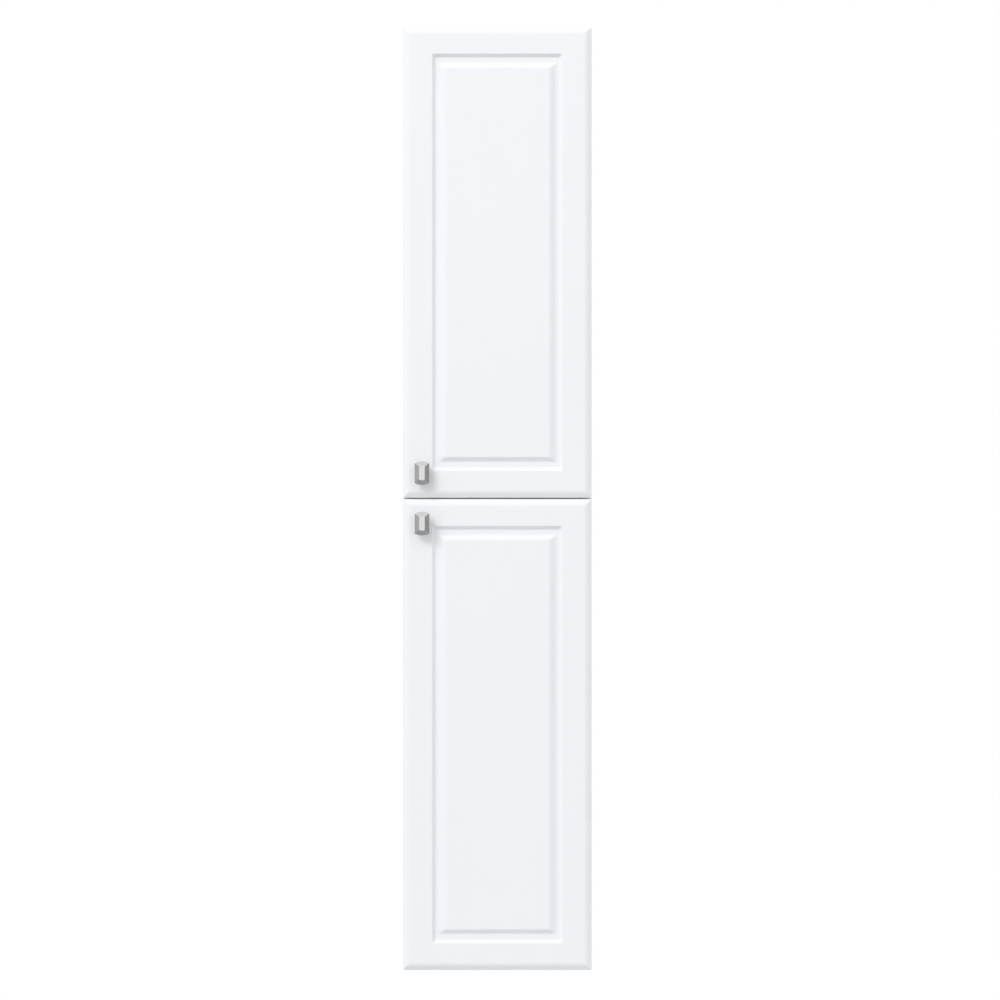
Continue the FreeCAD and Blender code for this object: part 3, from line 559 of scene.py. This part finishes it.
def arc_through(start, middle, end, steps):
    """Points of the arc from start through middle to end, without start."""
    (ax, ay), (bx, by), (cx, cy) = start, middle, end
    turn = 2 * (ax * (by - cy) + bx * (cy - ay) + cx * (ay - by))
    a, b, c = ax * ax + ay * ay, bx * bx + by * by, cx * cx + cy * cy
    ux = (a * (by - cy) + b * (cy - ay) + c * (ay - by)) / turn
    uy = (a * (cx - bx) + b * (ax - cx) + c * (bx - ax)) / turn
    radius = math.hypot(ax - ux, ay - uy)
    first = math.atan2(ay - uy, ax - ux)
    to_middle = (math.atan2(by - uy, bx - ux) - first) % math.tau
    sweep = (math.atan2(cy - uy, cx - ux) - first) % math.tau
    if to_middle > sweep:
        sweep -= math.tau
    angles = [first + sweep * i / steps for i in range(1, steps + 1)]
    return [(ux + radius * math.cos(angle), uy + radius * math.sin(angle)) for angle in angles]


def rounded(points, radii, steps=4):
    """A line of points with some corners rounded; radii is {index: radius}."""
    line = []
    for i, point in enumerate(points):
        if i not in radii:
            line.append(point)
            continue
        here = Vector(point)
        back = (Vector(points[i - 1]) - here).normalized()
        ahead = (Vector(points[i + 1]) - here).normalized()
        half = back.angle(ahead) / 2
        reach = radii[i] / math.tan(half)
        start, end = here + back * reach, here + ahead * reach
        middle = here + (back + ahead).normalized() * (radii[i] / math.sin(half) - radii[i])
        line.append(tuple(start))
        line += arc_through(tuple(start), tuple(middle), tuple(end), steps)
    return line


def circle(centre, axis, radius, count=48):
    """Points round an axis, which is one of the three main directions."""
    first = Vector((axis.y, axis.z, axis.x))
    second = axis.cross(first)
    angles = [math.tau * i / count for i in range(count)]
    return [centre + (first * math.cos(a) + second * math.sin(a)) * radius for a in angles]


def turned(start, axis, profile, count=48):
    """Closed turned part; profile lists (distance along the axis, radius)."""
    return skin_rings([circle(start + axis * along, axis, radius, count) for along, radius in profile])


# ------------------------------------------------------------------ doors
def edge_line(sizes, thick):
    """Eased edge of the leaf, from its back to its face, as (distance from the edge, depth)."""
    s = sizes
    radius = s.edge_roll / math.sin(s.edge_angle)
    rolled = radius * (1 - math.cos(s.edge_angle))
    band = s.edge_slope + s.edge_roll
    middle = (band - radius * math.sin(s.edge_angle / 2), radius * (1 - math.cos(s.edge_angle / 2)))
    line = [(3 * s.back_ease, thick), (0.0, thick), (0.0, rolled + s.edge_slope * math.tan(s.edge_angle)),
            (s.edge_slope, rolled)]
    line += arc_through((s.edge_slope, rolled), middle, (band, 0.0), 10)
    return rounded(line, {1: s.back_ease, 2: s.arris})


def moulding_line(sizes, start, floor, slope, soft):
    """Moulding of the leaf from its face to its field, with these widths and softness on one side."""
    foot = start + sizes.step
    rise = foot + floor
    top = rise + slope
    level = 4 * MM
    line = [(start - level, 0.0), (start, 0.0), (foot, sizes.mould_depth), (rise, sizes.mould_depth),
            (top, 0.0), (top + level, 0.0)]
    return rounded(line, {1: sizes.soft, 2: sizes.soft, 3: soft, 4: soft})


def leaf_ring(low, high, beside, above, depth, radius, steps=6):
    """Rectangle with rounded corners, at its distances from the sides and from the ends."""
    x0, x1 = low.x + beside + radius, high.x - beside - radius
    z0, z1 = low.z + above + radius, high.z - above - radius
    ring = []
    for quarter, (x, z) in enumerate([(x1, z1), (x0, z1), (x0, z0), (x1, z0)]):
        for step in range(steps + 1):
            angle = math.radians(90) * (quarter + step / steps)
            ring.append(Vector((x + radius * math.cos(angle), low.y + depth, z + radius * math.sin(angle))))
    return ring


def leaf_rings(low, high, sizes):
    """The leaf from its back to its raised field, ring by ring."""
    s = sizes
    rings = [leaf_ring(low, high, inset, inset, depth, s.corner)
             for inset, depth in edge_line(s, high.y - low.y)]
    beside = moulding_line(s, s.stile, s.side_floor, s.side_slope, s.side_soft)
    above = moulding_line(s, s.rail, s.end_floor, s.end_slope, s.end_soft)
    for (across, depth), (along, _) in zip(beside, above):
        rings.append(leaf_ring(low, high, across, along, depth, s.mould_corner))
    return rings


def cut_out(mesh, cutters):
    """Takes closed meshes out of another."""
    obj = loose(mesh)
    tools = [loose(cutter, "cutter") for cutter in cutters]
    for tool in tools:
        bore = obj.modifiers.new("bore", "BOOLEAN")
        bore.operation = "DIFFERENCE"
        bore.solver = "EXACT"
        bore.object = tool
    result = settled(obj)
    for tool in tools:
        bpy.data.objects.remove(tool)
    return result


def door_leaf(name, sizes):
    """Routed leaf of one piece, bored from behind for its cups and its knob screw."""
    low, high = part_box(name + "_door_leaf")
    mesh = skin_rings(leaf_rings(low, high, sizes))
    bores = []
    for end in ("top", "bottom"):
        cup_low, cup_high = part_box(f"{name}_{end}_hinge_cup")
        centre = Vector((high.x - sizes.cup_inset, high.y, (cup_low.z + cup_high.z) / 2))
        cup = [(-MM, sizes.cup_radius), (sizes.cup_depth, sizes.cup_radius)]
        bores.append(turned(centre, FORWARD, cup, count=96))
    screw_low, screw_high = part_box(name + "_knob_screw")
    middle = (screw_low + screw_high) / 2
    through = [(-MM, sizes.screw_bore), (high.y - low.y + MM, sizes.screw_bore)]
    bores.append(turned(Vector((middle.x, high.y, middle.z)), FORWARD, through, count=24))
    add_piece(name + "_door_foil_leaf", shaded(cut_out(mesh, bores)), name + "_door_leaf")


# ------------------------------------------------------------------ knobs
def knob_ring(centre, width, height, y, inset, arch):
    """Outline of the knob's head: straight sides and arched ends."""
    w, h = width / 2 - inset, height / 2 - inset
    rise = arch * w / (width / 2)
    over = [(w, h - rise)] + arc_through((w, h - rise), (0.0, h), (-w, h - rise), 16)
    under = [(-x, -z) for x, z in over]
    return [Vector((centre.x + x, y, centre.z + z)) for x, z in over + under]


def knob(name, sizes):
    """Bevelled head with arched ends, on a turned stem with a flared foot."""
    low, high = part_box(name + "_knob")
    centre = (low + high) / 2
    rear = low.y + sizes.head
    levels = [(rear, 0.0), (low.y + sizes.fall, 0.0), (low.y, sizes.bevel)]
    head = skin_rings([knob_ring(centre, high.x - low.x, high.z - low.z, y, inset, sizes.arch)
                       for y, inset in levels])
    head = eased(head, sizes.arris, above=20.0)
    rim = (0.6 * MM, sizes.foot)
    hollow = (1.6 * MM, sizes.foot * 0.8)
    into_head, collar, flare = 0.5 * MM, 1.2 * MM, 0.9 * MM
    reach = high.y - rear + into_head
    profile = [(0.0, sizes.foot), rim]
    profile += arc_through(rim, hollow, (sizes.foot_height, sizes.stem), 8)
    profile += [(reach - collar, sizes.stem), (reach, sizes.stem + flare)]
    stem = turned(Vector((centre.x, high.y, centre.z)), FORWARD, profile)
    add_piece(name + "_chrome_knob", shaded(joined([head, stem]), crease=40.0), name + "_knob")


# ------------------------------------------------------------------ what repeats
SCREW_TIP = 0.45        # radius of a screw's tip, in shank radii
SCREW_POINT = 2.0       # height of its point, in shank radii
RECESS_ARM = 0.4        # width of a cross recess's arms, in its reach
CAM_LIP = 0.4 * MM
CAM_CROSS = 0.6         # short slot of a cam, in the length of its long one
CAM_ARROW = 0.18        # size of the arrow, in the cam's radius
CAM_ARROW_OUT = 0.52    # its place to each side of the middle, in the cam's radius
DOWEL_FLUTES = 16.0
DOWEL_TAPER = 1.0 * MM
DOT_CROWN = 0.6         # below 1, a dot is flatter on top than a dome


def frustum(tree, top, bottom, depth, height, sides=32):
    """Round bar or cone standing at a height."""
    cone = tree.out("GeometryNodeMeshCone", {"Vertices": sides, "Radius Top": top, "Radius Bottom": bottom,
                                             "Depth": depth})
    return tree.out("GeometryNodeTransform", {"Geometry": cone, "Translation": tree.vector(z=height)})


def united(tree, parts):
    return tree.out("GeometryNodeMeshBoolean", {"Mesh 2": parts}, operation="UNION", solver="EXACT")


def hollowed(tree, whole, tools):
    return tree.out("GeometryNodeMeshBoolean", {"Mesh 1": whole, "Mesh 2": tools}, operation="DIFFERENCE",
                    solver="EXACT")


def reshaped(tree, mesh, x, y, z):
    """Moves every point of a mesh to these places."""
    return tree.out("GeometryNodeSetPosition", {"Geometry": mesh, "Position": tree.vector(x, y, z)})


def slot_block(tree, long, wide, deep):
    """Block round height 0 that cuts a slot of that depth."""
    return tree.out("GeometryNodeMeshCube", {"Size": tree.vector(long, wide, tree.times(deep, 2.0))})


def screw_shape(tree, size):
    """Screw with the top of its head at height 0, a soft crown and a cross recess."""
    head, height, crown, shank = size["Head radius"], size["Head height"], size["Crown"], size["Shank radius"]
    overall, reach, deep = size["Length"], size["Recess reach"], size["Recess depth"]
    point = tree.times(shank, SCREW_POINT)
    parts = [frustum(tree, tree.less(head, crown), head, crown, tree.times(crown, -1.0)),
             frustum(tree, head, size["Seat radius"], tree.less(height, crown), tree.times(height, -1.0)),
             frustum(tree, shank, shank, tree.less(tree.less(overall, height), point),
                     tree.less(point, overall)),
             frustum(tree, shank, tree.times(shank, SCREW_TIP), point, tree.times(overall, -1.0))]
    long, wide = tree.times(reach, 2.0), tree.times(reach, RECESS_ARM)
    cross = [slot_block(tree, long, wide, deep), slot_block(tree, wide, long, deep)]
    return hollowed(tree, united(tree, parts), cross)


def pin_shape(tree, size):
    """Pin through height 0 with chamfered ends, and a collar that starts there."""
    radius, chamfer, collar = size["Radius"], size["Chamfer"], size["Collar radius"]
    half = tree.times(size["Length"], 0.5)
    inner, small = tree.less(half, chamfer), tree.less(radius, chamfer)
    parts = [frustum(tree, radius, radius, tree.times(inner, 2.0), tree.times(inner, -1.0)),
             frustum(tree, small, radius, chamfer, inner),
             frustum(tree, radius, small, chamfer, tree.times(half, -1.0)),
             frustum(tree, collar, collar, size["Collar height"], 0.0)]
    return united(tree, parts)


def cam_shape(tree, size):
    """Cam with its face at height 0, a cross slot and an arrow that shows where it grips."""
    radius, height = size["Radius"], size["Height"]
    long, wide, deep = size["Slot length"], size["Slot width"], size["Slot depth"]
    parts = [frustum(tree, tree.less(radius, CAM_LIP), radius, CAM_LIP, -CAM_LIP, sides=48),
             frustum(tree, radius, radius, tree.less(height, CAM_LIP), tree.times(height, -1.0), sides=48)]
    arrow = tree.out("GeometryNodeMeshCylinder", {"Vertices": 3, "Radius": tree.times(radius, CAM_ARROW),
                                                  "Depth": 1.2 * MM})
    aside = tree.times(radius, CAM_ARROW_OUT)
    arrow = tree.out("GeometryNodeTransform", {"Geometry": arrow, "Translation": tree.vector(aside, aside)})
    slots = [slot_block(tree, long, wide, deep), slot_block(tree, wide, tree.times(long, CAM_CROSS), deep),
             arrow]
    return hollowed(tree, united(tree, parts), slots)


def dowel_shape(tree, size):
    """Dowel along height 0 with lengthwise flutes and tapered ends."""
    bar = tree.out("GeometryNodeMeshCylinder", {"Vertices": 64, "Side Segments": 30, "Radius": size["Radius"],
                                                "Depth": size["Length"]})
    x, y, z = tree.axes(tree.out("GeometryNodeInputPosition"))
    ripple = tree.math("COSINE", tree.times(tree.math("ARCTAN2", y, x), DOWEL_FLUTES))
    flute = tree.times(tree.plus(ripple, 1.0), tree.times(size["Flute"], 0.5))
    past = tree.less(tree.math("ABSOLUTE", z), tree.less(tree.times(size["Length"], 0.5), DOWEL_TAPER))
    shrink = tree.plus(flute, tree.greatest(past, 0.0))
    keep = tree.less(1.0, tree.math("DIVIDE", shrink, size["Radius"]))
    return reshaped(tree, bar, tree.times(x, keep), tree.times(y, keep), z)


def dot_shape(tree, size):
    """Soft dome that stands on height 0."""
    ball = tree.out("GeometryNodeMeshUVSphere", {"Segments": 32, "Rings": 24, "Radius": size["Radius"]})
    x, y, z = tree.axes(tree.out("GeometryNodeInputPosition"))
    lifted = tree.math("POWER", tree.greatest(tree.math("DIVIDE", z, size["Radius"]), 0.0), DOT_CROWN)
    return reshaped(tree, ball, x, y, tree.times(lifted, size["Height"]))


def repeating_tree(name, sizes, shape):
    """Tree that sets one shape on every point, its height along the point's aim."""
    group = bpy.data.node_groups.new(name, "GeometryNodeTree")
    sockets = group.interface
    sockets.new_socket("Points", in_out="INPUT", socket_type="NodeSocketGeometry")
    for label, default in sizes.items():
        socket = sockets.new_socket(label, in_out="INPUT", socket_type="NodeSocketFloat")
        socket.subtype = "DISTANCE"
        socket.default_value = default
    sockets.new_socket("Finish", in_out="INPUT", socket_type="NodeSocketMaterial")
    sockets.new_socket("Pieces", in_out="OUTPUT", socket_type="NodeSocketGeometry")
    tree = Tree(group)
    entry = tree.node("NodeGroupInput")
    one = shape(tree, {label: entry.outputs[label] for label in sizes})
    turn = tree.out("GeometryNodeInputMeshEdgeAngle")
    crease = tree.out("FunctionNodeCompare", {0: turn, 1: math.radians(CREASE)}, operation="GREATER_THAN")
    one = tree.out("GeometryNodeSetShadeSmooth", {"Geometry": one}, domain="FACE")
    one = tree.out("GeometryNodeSetShadeSmooth", {"Geometry": one, "Selection": crease,
                                                  "Shade Smooth": False}, domain="EDGE")
    aim, stretch = (tree.out("GeometryNodeInputNamedAttribute", {"Name": label}, data_type="FLOAT_VECTOR")
                    for label in ("aim", "stretch"))
    facing = tree.out("FunctionNodeAlignRotationToVector", {"Vector": aim}, axis="Z")
    spread = tree.out("GeometryNodeInstanceOnPoints", {"Points": entry.outputs["Points"], "Instance": one,
                                                       "Rotation": facing, "Scale": stretch})
    real = tree.out("GeometryNodeRealizeInstances", {"Geometry": spread})
    dressed = tree.out("GeometryNodeSetMaterial", {"Geometry": real, "Material": entry.outputs["Finish"]})
    tree.node("NodeGroupOutput", {"Pieces": dressed})
    return group


def set_out(name, node, sizes, shape, aim_of, on_face=True, stretched=None):
    """Puts a repeated shape at each solid of a CAD node.

    aim_of(centre) gives the direction of the shape's height. on_face moves the place from
    the middle of the solid to the face it aims through. stretched is the (diameter, length)
    of the shape, where the solids differ in size.
    """
    places, aims, stretches = [], [], []
    for low, high in solids(node):
        centre, extent = (low + high) / 2, high - low
        aim = aim_of(centre)
        along = abs(extent.dot(aim))
        across = min(extent[i] for i in range(3) if abs(aim[i]) < 0.5)
        places.append(centre + aim * along / 2 if on_face else centre)
        aims.append(aim)
        stretches.append((across / stretched[0], across / stretched[0], along / stretched[1]) if stretched
                         else (1.0, 1.0, 1.0))
    points = bpy.data.meshes.new(name + "_points")
    points.from_pydata(places, [], [])
    for label, values in (("aim", aims), ("stretch", stretches)):
        layer = points.attributes.new(label, "FLOAT_VECTOR", "POINT")
        layer.data.foreach_set("vector", [number for value in values for number in value])
    group = repeating_tree(name, sizes, shape)
    obj = loose(points, name + "_points")
    modifier = obj.modifiers.new("set out", "NODES")
    modifier.node_group = group
    inputs = {**sizes, "Finish": finish_of(node)}
    for socket in group.interface.items_tree:
        if socket.name in inputs:
            modifier[socket.identifier] = inputs[socket.name]
    add_piece(name, settled(obj), node)


def towards(direction):
    """Aims every solid the same way."""
    return lambda centre: direction


def outward(centre):
    return Vector((1 if centre.x > 0 else -1, 0, 0))


def inward(centre):
    return -outward(centre)


def extent_of(node):
    """Size of a CAD node's first solid."""
    low, high = solids(node)[0]
    return high - low


def screw_set(name, node, aim_of, head, height, shank, reach, depth, crown, countersunk=False, overall=None):
    """Screws in place of a CAD node's, as long as its solids are where overall isn't given.

    head is the head's radius in metres. All else is in millimetres: the height and the crown of
    the head, the radius of the shank, and the reach and the depth of the cross recess.
    """
    sizes = {"Head radius": head, "Seat radius": shank * MM if countersunk else head,
             "Head height": height * MM, "Shank radius": shank * MM,
             "Length": overall * MM if overall else max(extent_of(node)),
             "Recess reach": reach * MM, "Recess depth": depth * MM, "Crown": crown * MM}
    set_out(name, node, sizes, screw_shape, aim_of)


def pin_set(node, aim_of, radius, overall, chamfer, collar=0.1, collar_height=0.1, stretch=False):
    """Pins in place of a CAD node's, sized in millimetres; a collar of 0.1 is hidden in the pin."""
    sizes = {"Radius": radius * MM, "Length": overall * MM, "Chamfer": chamfer * MM,
             "Collar radius": collar * MM, "Collar height": collar_height * MM}
    set_out(node[:-1] + "_set", node, sizes, pin_shape, aim_of, on_face=False,
            stretched=(2 * radius * MM, overall * MM) if stretch else None)


# ------------------------------------------------------------------ operators
class CABINET_OT_stage(bpy.types.Operator):
    """Camera, floor, world and lamps"""
    bl_idname = "cabinet.stage"
    bl_label = "Set the stage"

    def execute(self, context):
        set_stage(context.scene, context.scene.cabinet_studio)
        return {"FINISHED"}


class CABINET_OT_case(bpy.types.Operator):
    """Finishes the boards of the case, its back and its rail"""
    bl_idname = "cabinet.case"
    bl_label = "Finish the case"

    def execute(self, context):
        dress_nodes("left_side_panel", "right_side_panel", "top_panel", "bottom_panel", "fixed_middle_shelf",
                    "back_panel", "lower_mounting_rail")
        return {"FINISHED"}


class CABINET_OT_joints(bpy.types.Operator):
    """Cams, bolts and dowels that hold the case together"""
    bl_idname = "cabinet.joints"
    bl_label = "Make the case fastenings"

    def execute(self, context):
        shelf_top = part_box("fixed_middle_shelf")[1].z
        cam = extent_of("cam_locks")
        set_out("cam_set", "cam_locks", {"Radius": cam.x / 2, "Height": cam.z, "Slot length": 10 * MM,
                                         "Slot width": 1.8 * MM, "Slot depth": 2.5 * MM}, cam_shape,
                lambda centre: UPWARD if centre.z > shelf_top else -UPWARD)
        dowel = extent_of("wood_dowels")
        set_out("dowel_set", "wood_dowels", {"Radius": dowel.y / 2, "Length": dowel.x,
                                             "Flute": context.scene.cabinet_fastenings.flute},
                dowel_shape, outward, on_face=False)
        dress_nodes("cam_bolts")
        return {"FINISHED"}


class CABINET_OT_screws(bpy.types.Operator):
    """Screws with their driver recesses"""
    bl_idname = "cabinet.screws"
    bl_label = "Make the screws"

    def execute(self, context):
        s = context.scene.cabinet_fastenings
        for door in DOORS:
            screw_set(door + "_cup_screw_set", door + "_cup_screws", towards(BACKWARD), s.countersunk,
                      height=1.8, shank=1.75, reach=1.8, depth=1.0, crown=0.12, overall=13.9,
                      countersunk=True)
            screw_set(door + "_knob_bolt", door + "_knob_screw", towards(BACKWARD), s.pan,
                      height=2.4, shank=2.0, reach=2.2, depth=1.4, crown=0.9)
        screw_set("system_screw_set", "hinge_plate_screws", inward, s.pan,
                  height=1.6, shank=2.5, reach=2.2, depth=1.0, crown=0.5)
        screw_set("adjusting_screw_set", "hinge_adjusting_screws", inward, s.adjusting,
                  height=1.4, shank=2.0, reach=2.0, depth=0.8, crown=0.35)
        screw_set("hanger_screw_set", "hanger_adjusting_screws", towards(FORWARD), s.hanger_head,
                  height=2.5, shank=3.0, reach=2.4, depth=1.5, crown=0.5)
        screw_set("rail_screw_set", "rail_screws", outward, s.rail_head,
                  height=3.0, shank=2.2, reach=2.4, depth=1.4, crown=0.12, countersunk=True)
        return {"FINISHED"}


class CABINET_OT_pins(bpy.types.Operator):
    """Shelf pins, hinge pins and the soft dots behind the doors"""
    bl_idname = "cabinet.pins"
    bl_label = "Make the pins and dots"

    def execute(self, context):
        for node in sorted(frame["nodes"]):
            if node.endswith("_shelf_pins"):
                pin_set(node, inward, radius=2.5, overall=16.0, chamfer=0.5, collar=4.0, collar_height=0.9)
            elif node.endswith("_cup_pins") or node == "hinge_arm_pins":
                pin_set(node, towards(UPWARD), radius=1.25, overall=7.8, chamfer=0.3, stretch=True)
            elif node.endswith("_bumpers"):
                dot = extent_of(node)
                set_out(node[:-1] + "_set", node, {"Radius": dot.x / 2, "Height": dot.y}, dot_shape,
                        towards(BACKWARD), on_face=False)
        return {"FINISHED"}


class CABINET_OT_hinges(bpy.types.Operator):
    """Cups, arms, mounting plates and links of the concealed hinges"""
    bl_idname = "cabinet.hinges"
    bl_label = "Make the hinges"

    def execute(self, context):
        for door in DOORS:
            for end in ("top", "bottom"):
                soften([f"{door}_{end}_hinge_{part}" for part in ("cup", "arm", "plate")], "_pressed")
            soften([door + "_outer_links", door + "_inner_links"], "_pressed")
        return {"FINISHED"}


class CABINET_OT_hangers(bpy.types.Operator):
    """Hangers, hooks and wall plates that carry the cabinet"""
    bl_idname = "cabinet.hangers"
    bl_label = "Make the hangers"

    def execute(self, context):
        for side in ("left", "right"):
            soften([f"{part}_{side}" for part in ("hanger_body", "hanger_hook", "wall_plate")], "_formed")
        return {"FINISHED"}


class CABINET_OT_shelves(bpy.types.Operator):
    """Loose glass shelves with polished edges"""
    bl_idname = "cabinet.shelves"
    bl_label = "Make the glass shelves"

    def execute(self, context):
        for node in sorted(frame["nodes"]):
            if not node.endswith("_shelf") or node == "fixed_middle_shelf":
                continue
            low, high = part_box(node)
            polish = 1.2 * MM
            outline = [(low.x, low.y), (high.x, low.y), (high.x, high.y), (low.x, high.y)]
            slab = skin_rings([[Vector((x, y, z)) for x, y in outline] for z in (low.z, high.z)])
            add_piece(node + "_glass", shaded(eased(slab, polish, segments=4)), node)
        return {"FINISHED"}


class CABINET_OT_doors(bpy.types.Operator):
    """Routed door leaves"""
    bl_idname = "cabinet.doors"
    bl_label = "Make the doors"

    def execute(self, context):
        for name in DOORS:
            door_leaf(name, context.scene.cabinet_door)
        return {"FINISHED"}


class CABINET_OT_knobs(bpy.types.Operator):
    """Bevelled chrome knobs"""
    bl_idname = "cabinet.knobs"
    bl_label = "Make the knobs"

    def execute(self, context):
        for name in DOORS:
            knob(name, context.scene.cabinet_knob)
        return {"FINISHED"}


OPERATORS = [CABINET_OT_stage, CABINET_OT_case, CABINET_OT_joints, CABINET_OT_shelves, CABINET_OT_doors,
             CABINET_OT_knobs, CABINET_OT_hinges, CABINET_OT_hangers, CABINET_OT_screws, CABINET_OT_pins]


class CABINET_PT_panel(bpy.types.Panel):
    """Steps and sizes of the cabinet"""
    bl_idname = "CABINET_PT_panel"
    bl_label = "Tall Bathroom Cabinet"
    bl_space_type = "VIEW_3D"
    bl_region_type = "UI"
    bl_category = "Cabinet"

    def draw(self, context):
        for operator in OPERATORS:
            self.layout.operator(operator.bl_idname)
        for name, kind in GROUPS.items():
            box = self.layout.box()
            for prop in kind.__annotations__:
                box.prop(getattr(context.scene, name), prop)


# ------------------------------------------------------------------ stage
KEY_FROM = Vector((-0.45, -0.683, 0.58))
FILL_FROM = Vector((0.45, 0.7, 0.55))
LAMP_DISTANCE = 16.0
LAMP_SIZE = 7.2
FLOOR_RADIUS = 30.0
FLOOR_THICKNESS = 0.02
WHITE = (1.0, 1.0, 1.0, 1.0)
COOL_WHITE = (0.985, 0.99, 1.0, 1.0)
FLOOR_SEEN = (0.92, 0.92, 0.92)
FLOOR_IN_METAL = (0.36, 0.36, 0.36)


def add_lamp(name, origin, direction, level):
    """Square lamp that lights a surface facing it, at origin, to that level; no metal mirrors it."""
    data = bpy.data.lights.new(name, "AREA")
    data.shape = "SQUARE"
    data.size = LAMP_SIZE
    data.energy = level * math.pi ** 2 * LAMP_DISTANCE ** 2
    lamp = bpy.data.objects.new(name, data)
    lamp.location = origin + direction.normalized() * LAMP_DISTANCE
    lamp.rotation_mode = "QUATERNION"
    lamp.rotation_quaternion = direction.to_track_quat("Z", "Y")
    lamp.visible_glossy = False
    bpy.context.scene.collection.objects.link(lamp)


def bare_tree(owner):
    """The emptied shader tree of a world or a material."""
    owner.use_nodes = True
    owner.node_tree.nodes.clear()
    return Tree(owner.node_tree)


def studio_world(scene, studio):
    """White to the eye and through glass; its light dims upwards, and metal mirrors dim sides and top."""
    scene.world = bpy.data.worlds.new("studio")
    tree = bare_tree(scene.world)
    path = tree.node("ShaderNodeLightPath").outputs
    across, _, height = tree.axes(tree.node("ShaderNodeTexCoord").outputs["Generated"])
    falling = tree.ramp(height, 0.0, 1.0, studio.ambient, studio.ambient * studio.ceiling)
    left, right, above = (tree.ramp(direction, near, far, 1.0, least, "SMOOTHSTEP")
                          for direction, near, far, least in
                          ((across, -0.35, -0.8, 0.5), (across, 0.35, 0.8, 0.34), (height, 0.5, 0.9, 0.84)))
    dim = tree.math("MINIMUM", tree.math("MINIMUM", left, right), above)
    even, white, sides = (tree.out("ShaderNodeBackground", {"Color": tint, "Strength": strength})
                          for tint, strength in ((COOL_WHITE, falling), (WHITE, 1.0), (WHITE, dim)))
    lit = tree.out("ShaderNodeMixShader", {0: path["Is Glossy Ray"], 1: even, 2: sides})
    seen = tree.greatest(path["Is Camera Ray"], path["Is Transmission Ray"])
    surface = tree.out("ShaderNodeMixShader", {0: seen, 1: lit, 2: white})
    tree.node("ShaderNodeOutputWorld", {"Surface": surface})


def floor_finish():
    """Pale floor that lights the lower edges, keeps shadows near the cabinet and is white further out."""
    material = bpy.data.materials.new("pale_floor")
    tree = bare_tree(material)
    path = tree.node("ShaderNodeLightPath").outputs
    reach = tree.node("ShaderNodeVectorMath", {0: tree.own_place()}, operation="LENGTH").outputs["Value"]
    bounce = tree.ramp(reach, 0.4, 2.5, 0.56, 0.45)
    unseen = mixed(tree, path["Is Glossy Ray"], bounce, FLOOR_IN_METAL)
    tone = mixed(tree, path["Is Camera Ray"], unseen, FLOOR_SEEN)
    matt = tree.out("ShaderNodeBsdfDiffuse", {"Color": tone})
    glow = tree.out("ShaderNodeEmission", {"Color": WHITE, "Strength": 1.0})
    far = tree.ramp(reach, 0.9, 2.2, 0.12, 1.0, "SMOOTHSTEP")
    blend = tree.times(far, path["Is Camera Ray"])
    surface = tree.out("ShaderNodeMixShader", {0: blend, 1: matt, 2: glow})
    tree.node("ShaderNodeOutputMaterial", {"Surface": surface})
    return material


def set_stage(scene, studio):
    scene.view_settings.view_transform = "Standard"
    low, high = CAD_BOX
    camera = bpy.data.objects.new("camera", bpy.data.cameras.new("camera"))
    scene.collection.objects.link(camera)
    camera.data.lens = studio.lens
    distance = studio.view_width * studio.lens / camera.data.sensor_width
    camera.location = (studio.aim_x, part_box("upper_door_leaf")[0].y - distance, studio.aim_z)
    camera.rotation_euler = (math.radians(90), 0, 0)
    camera.data.clip_end = 100.0
    scene.camera = camera
    centre = (low + high) / 2
    floor = loose(turned(Vector((0.0, 0.0, -FLOOR_THICKNESS)), UPWARD,
                         [(0.0, FLOOR_RADIUS), (FLOOR_THICKNESS, FLOOR_RADIUS)], count=96), "floor")
    floor.location = (centre.x, centre.y, low.z - studio.floor_drop)
    floor.data.materials.append(floor_finish())
    studio_world(scene, studio)
    add_lamp("key", centre, KEY_FROM, studio.key)
    add_lamp("fill", centre, FILL_FROM, studio.fill)


def register():
    for kind in [*GROUPS.values(), *OPERATORS, CABINET_PT_panel]:
        bpy.utils.register_class(kind)
    for name, kind in GROUPS.items():
        setattr(bpy.types.Scene, name, PointerProperty(type=kind))


def unregister():
    for name in GROUPS:
        delattr(bpy.types.Scene, name)
    for kind in reversed([*GROUPS.values(), *OPERATORS, CABINET_PT_panel]):
        bpy.utils.unregister_class(kind)


def main():
    register()
    for operator in OPERATORS:
        group, step = operator.bl_idname.split(".")
        getattr(getattr(bpy.ops, group), step)()


if __name__ == "__main__":
    main()
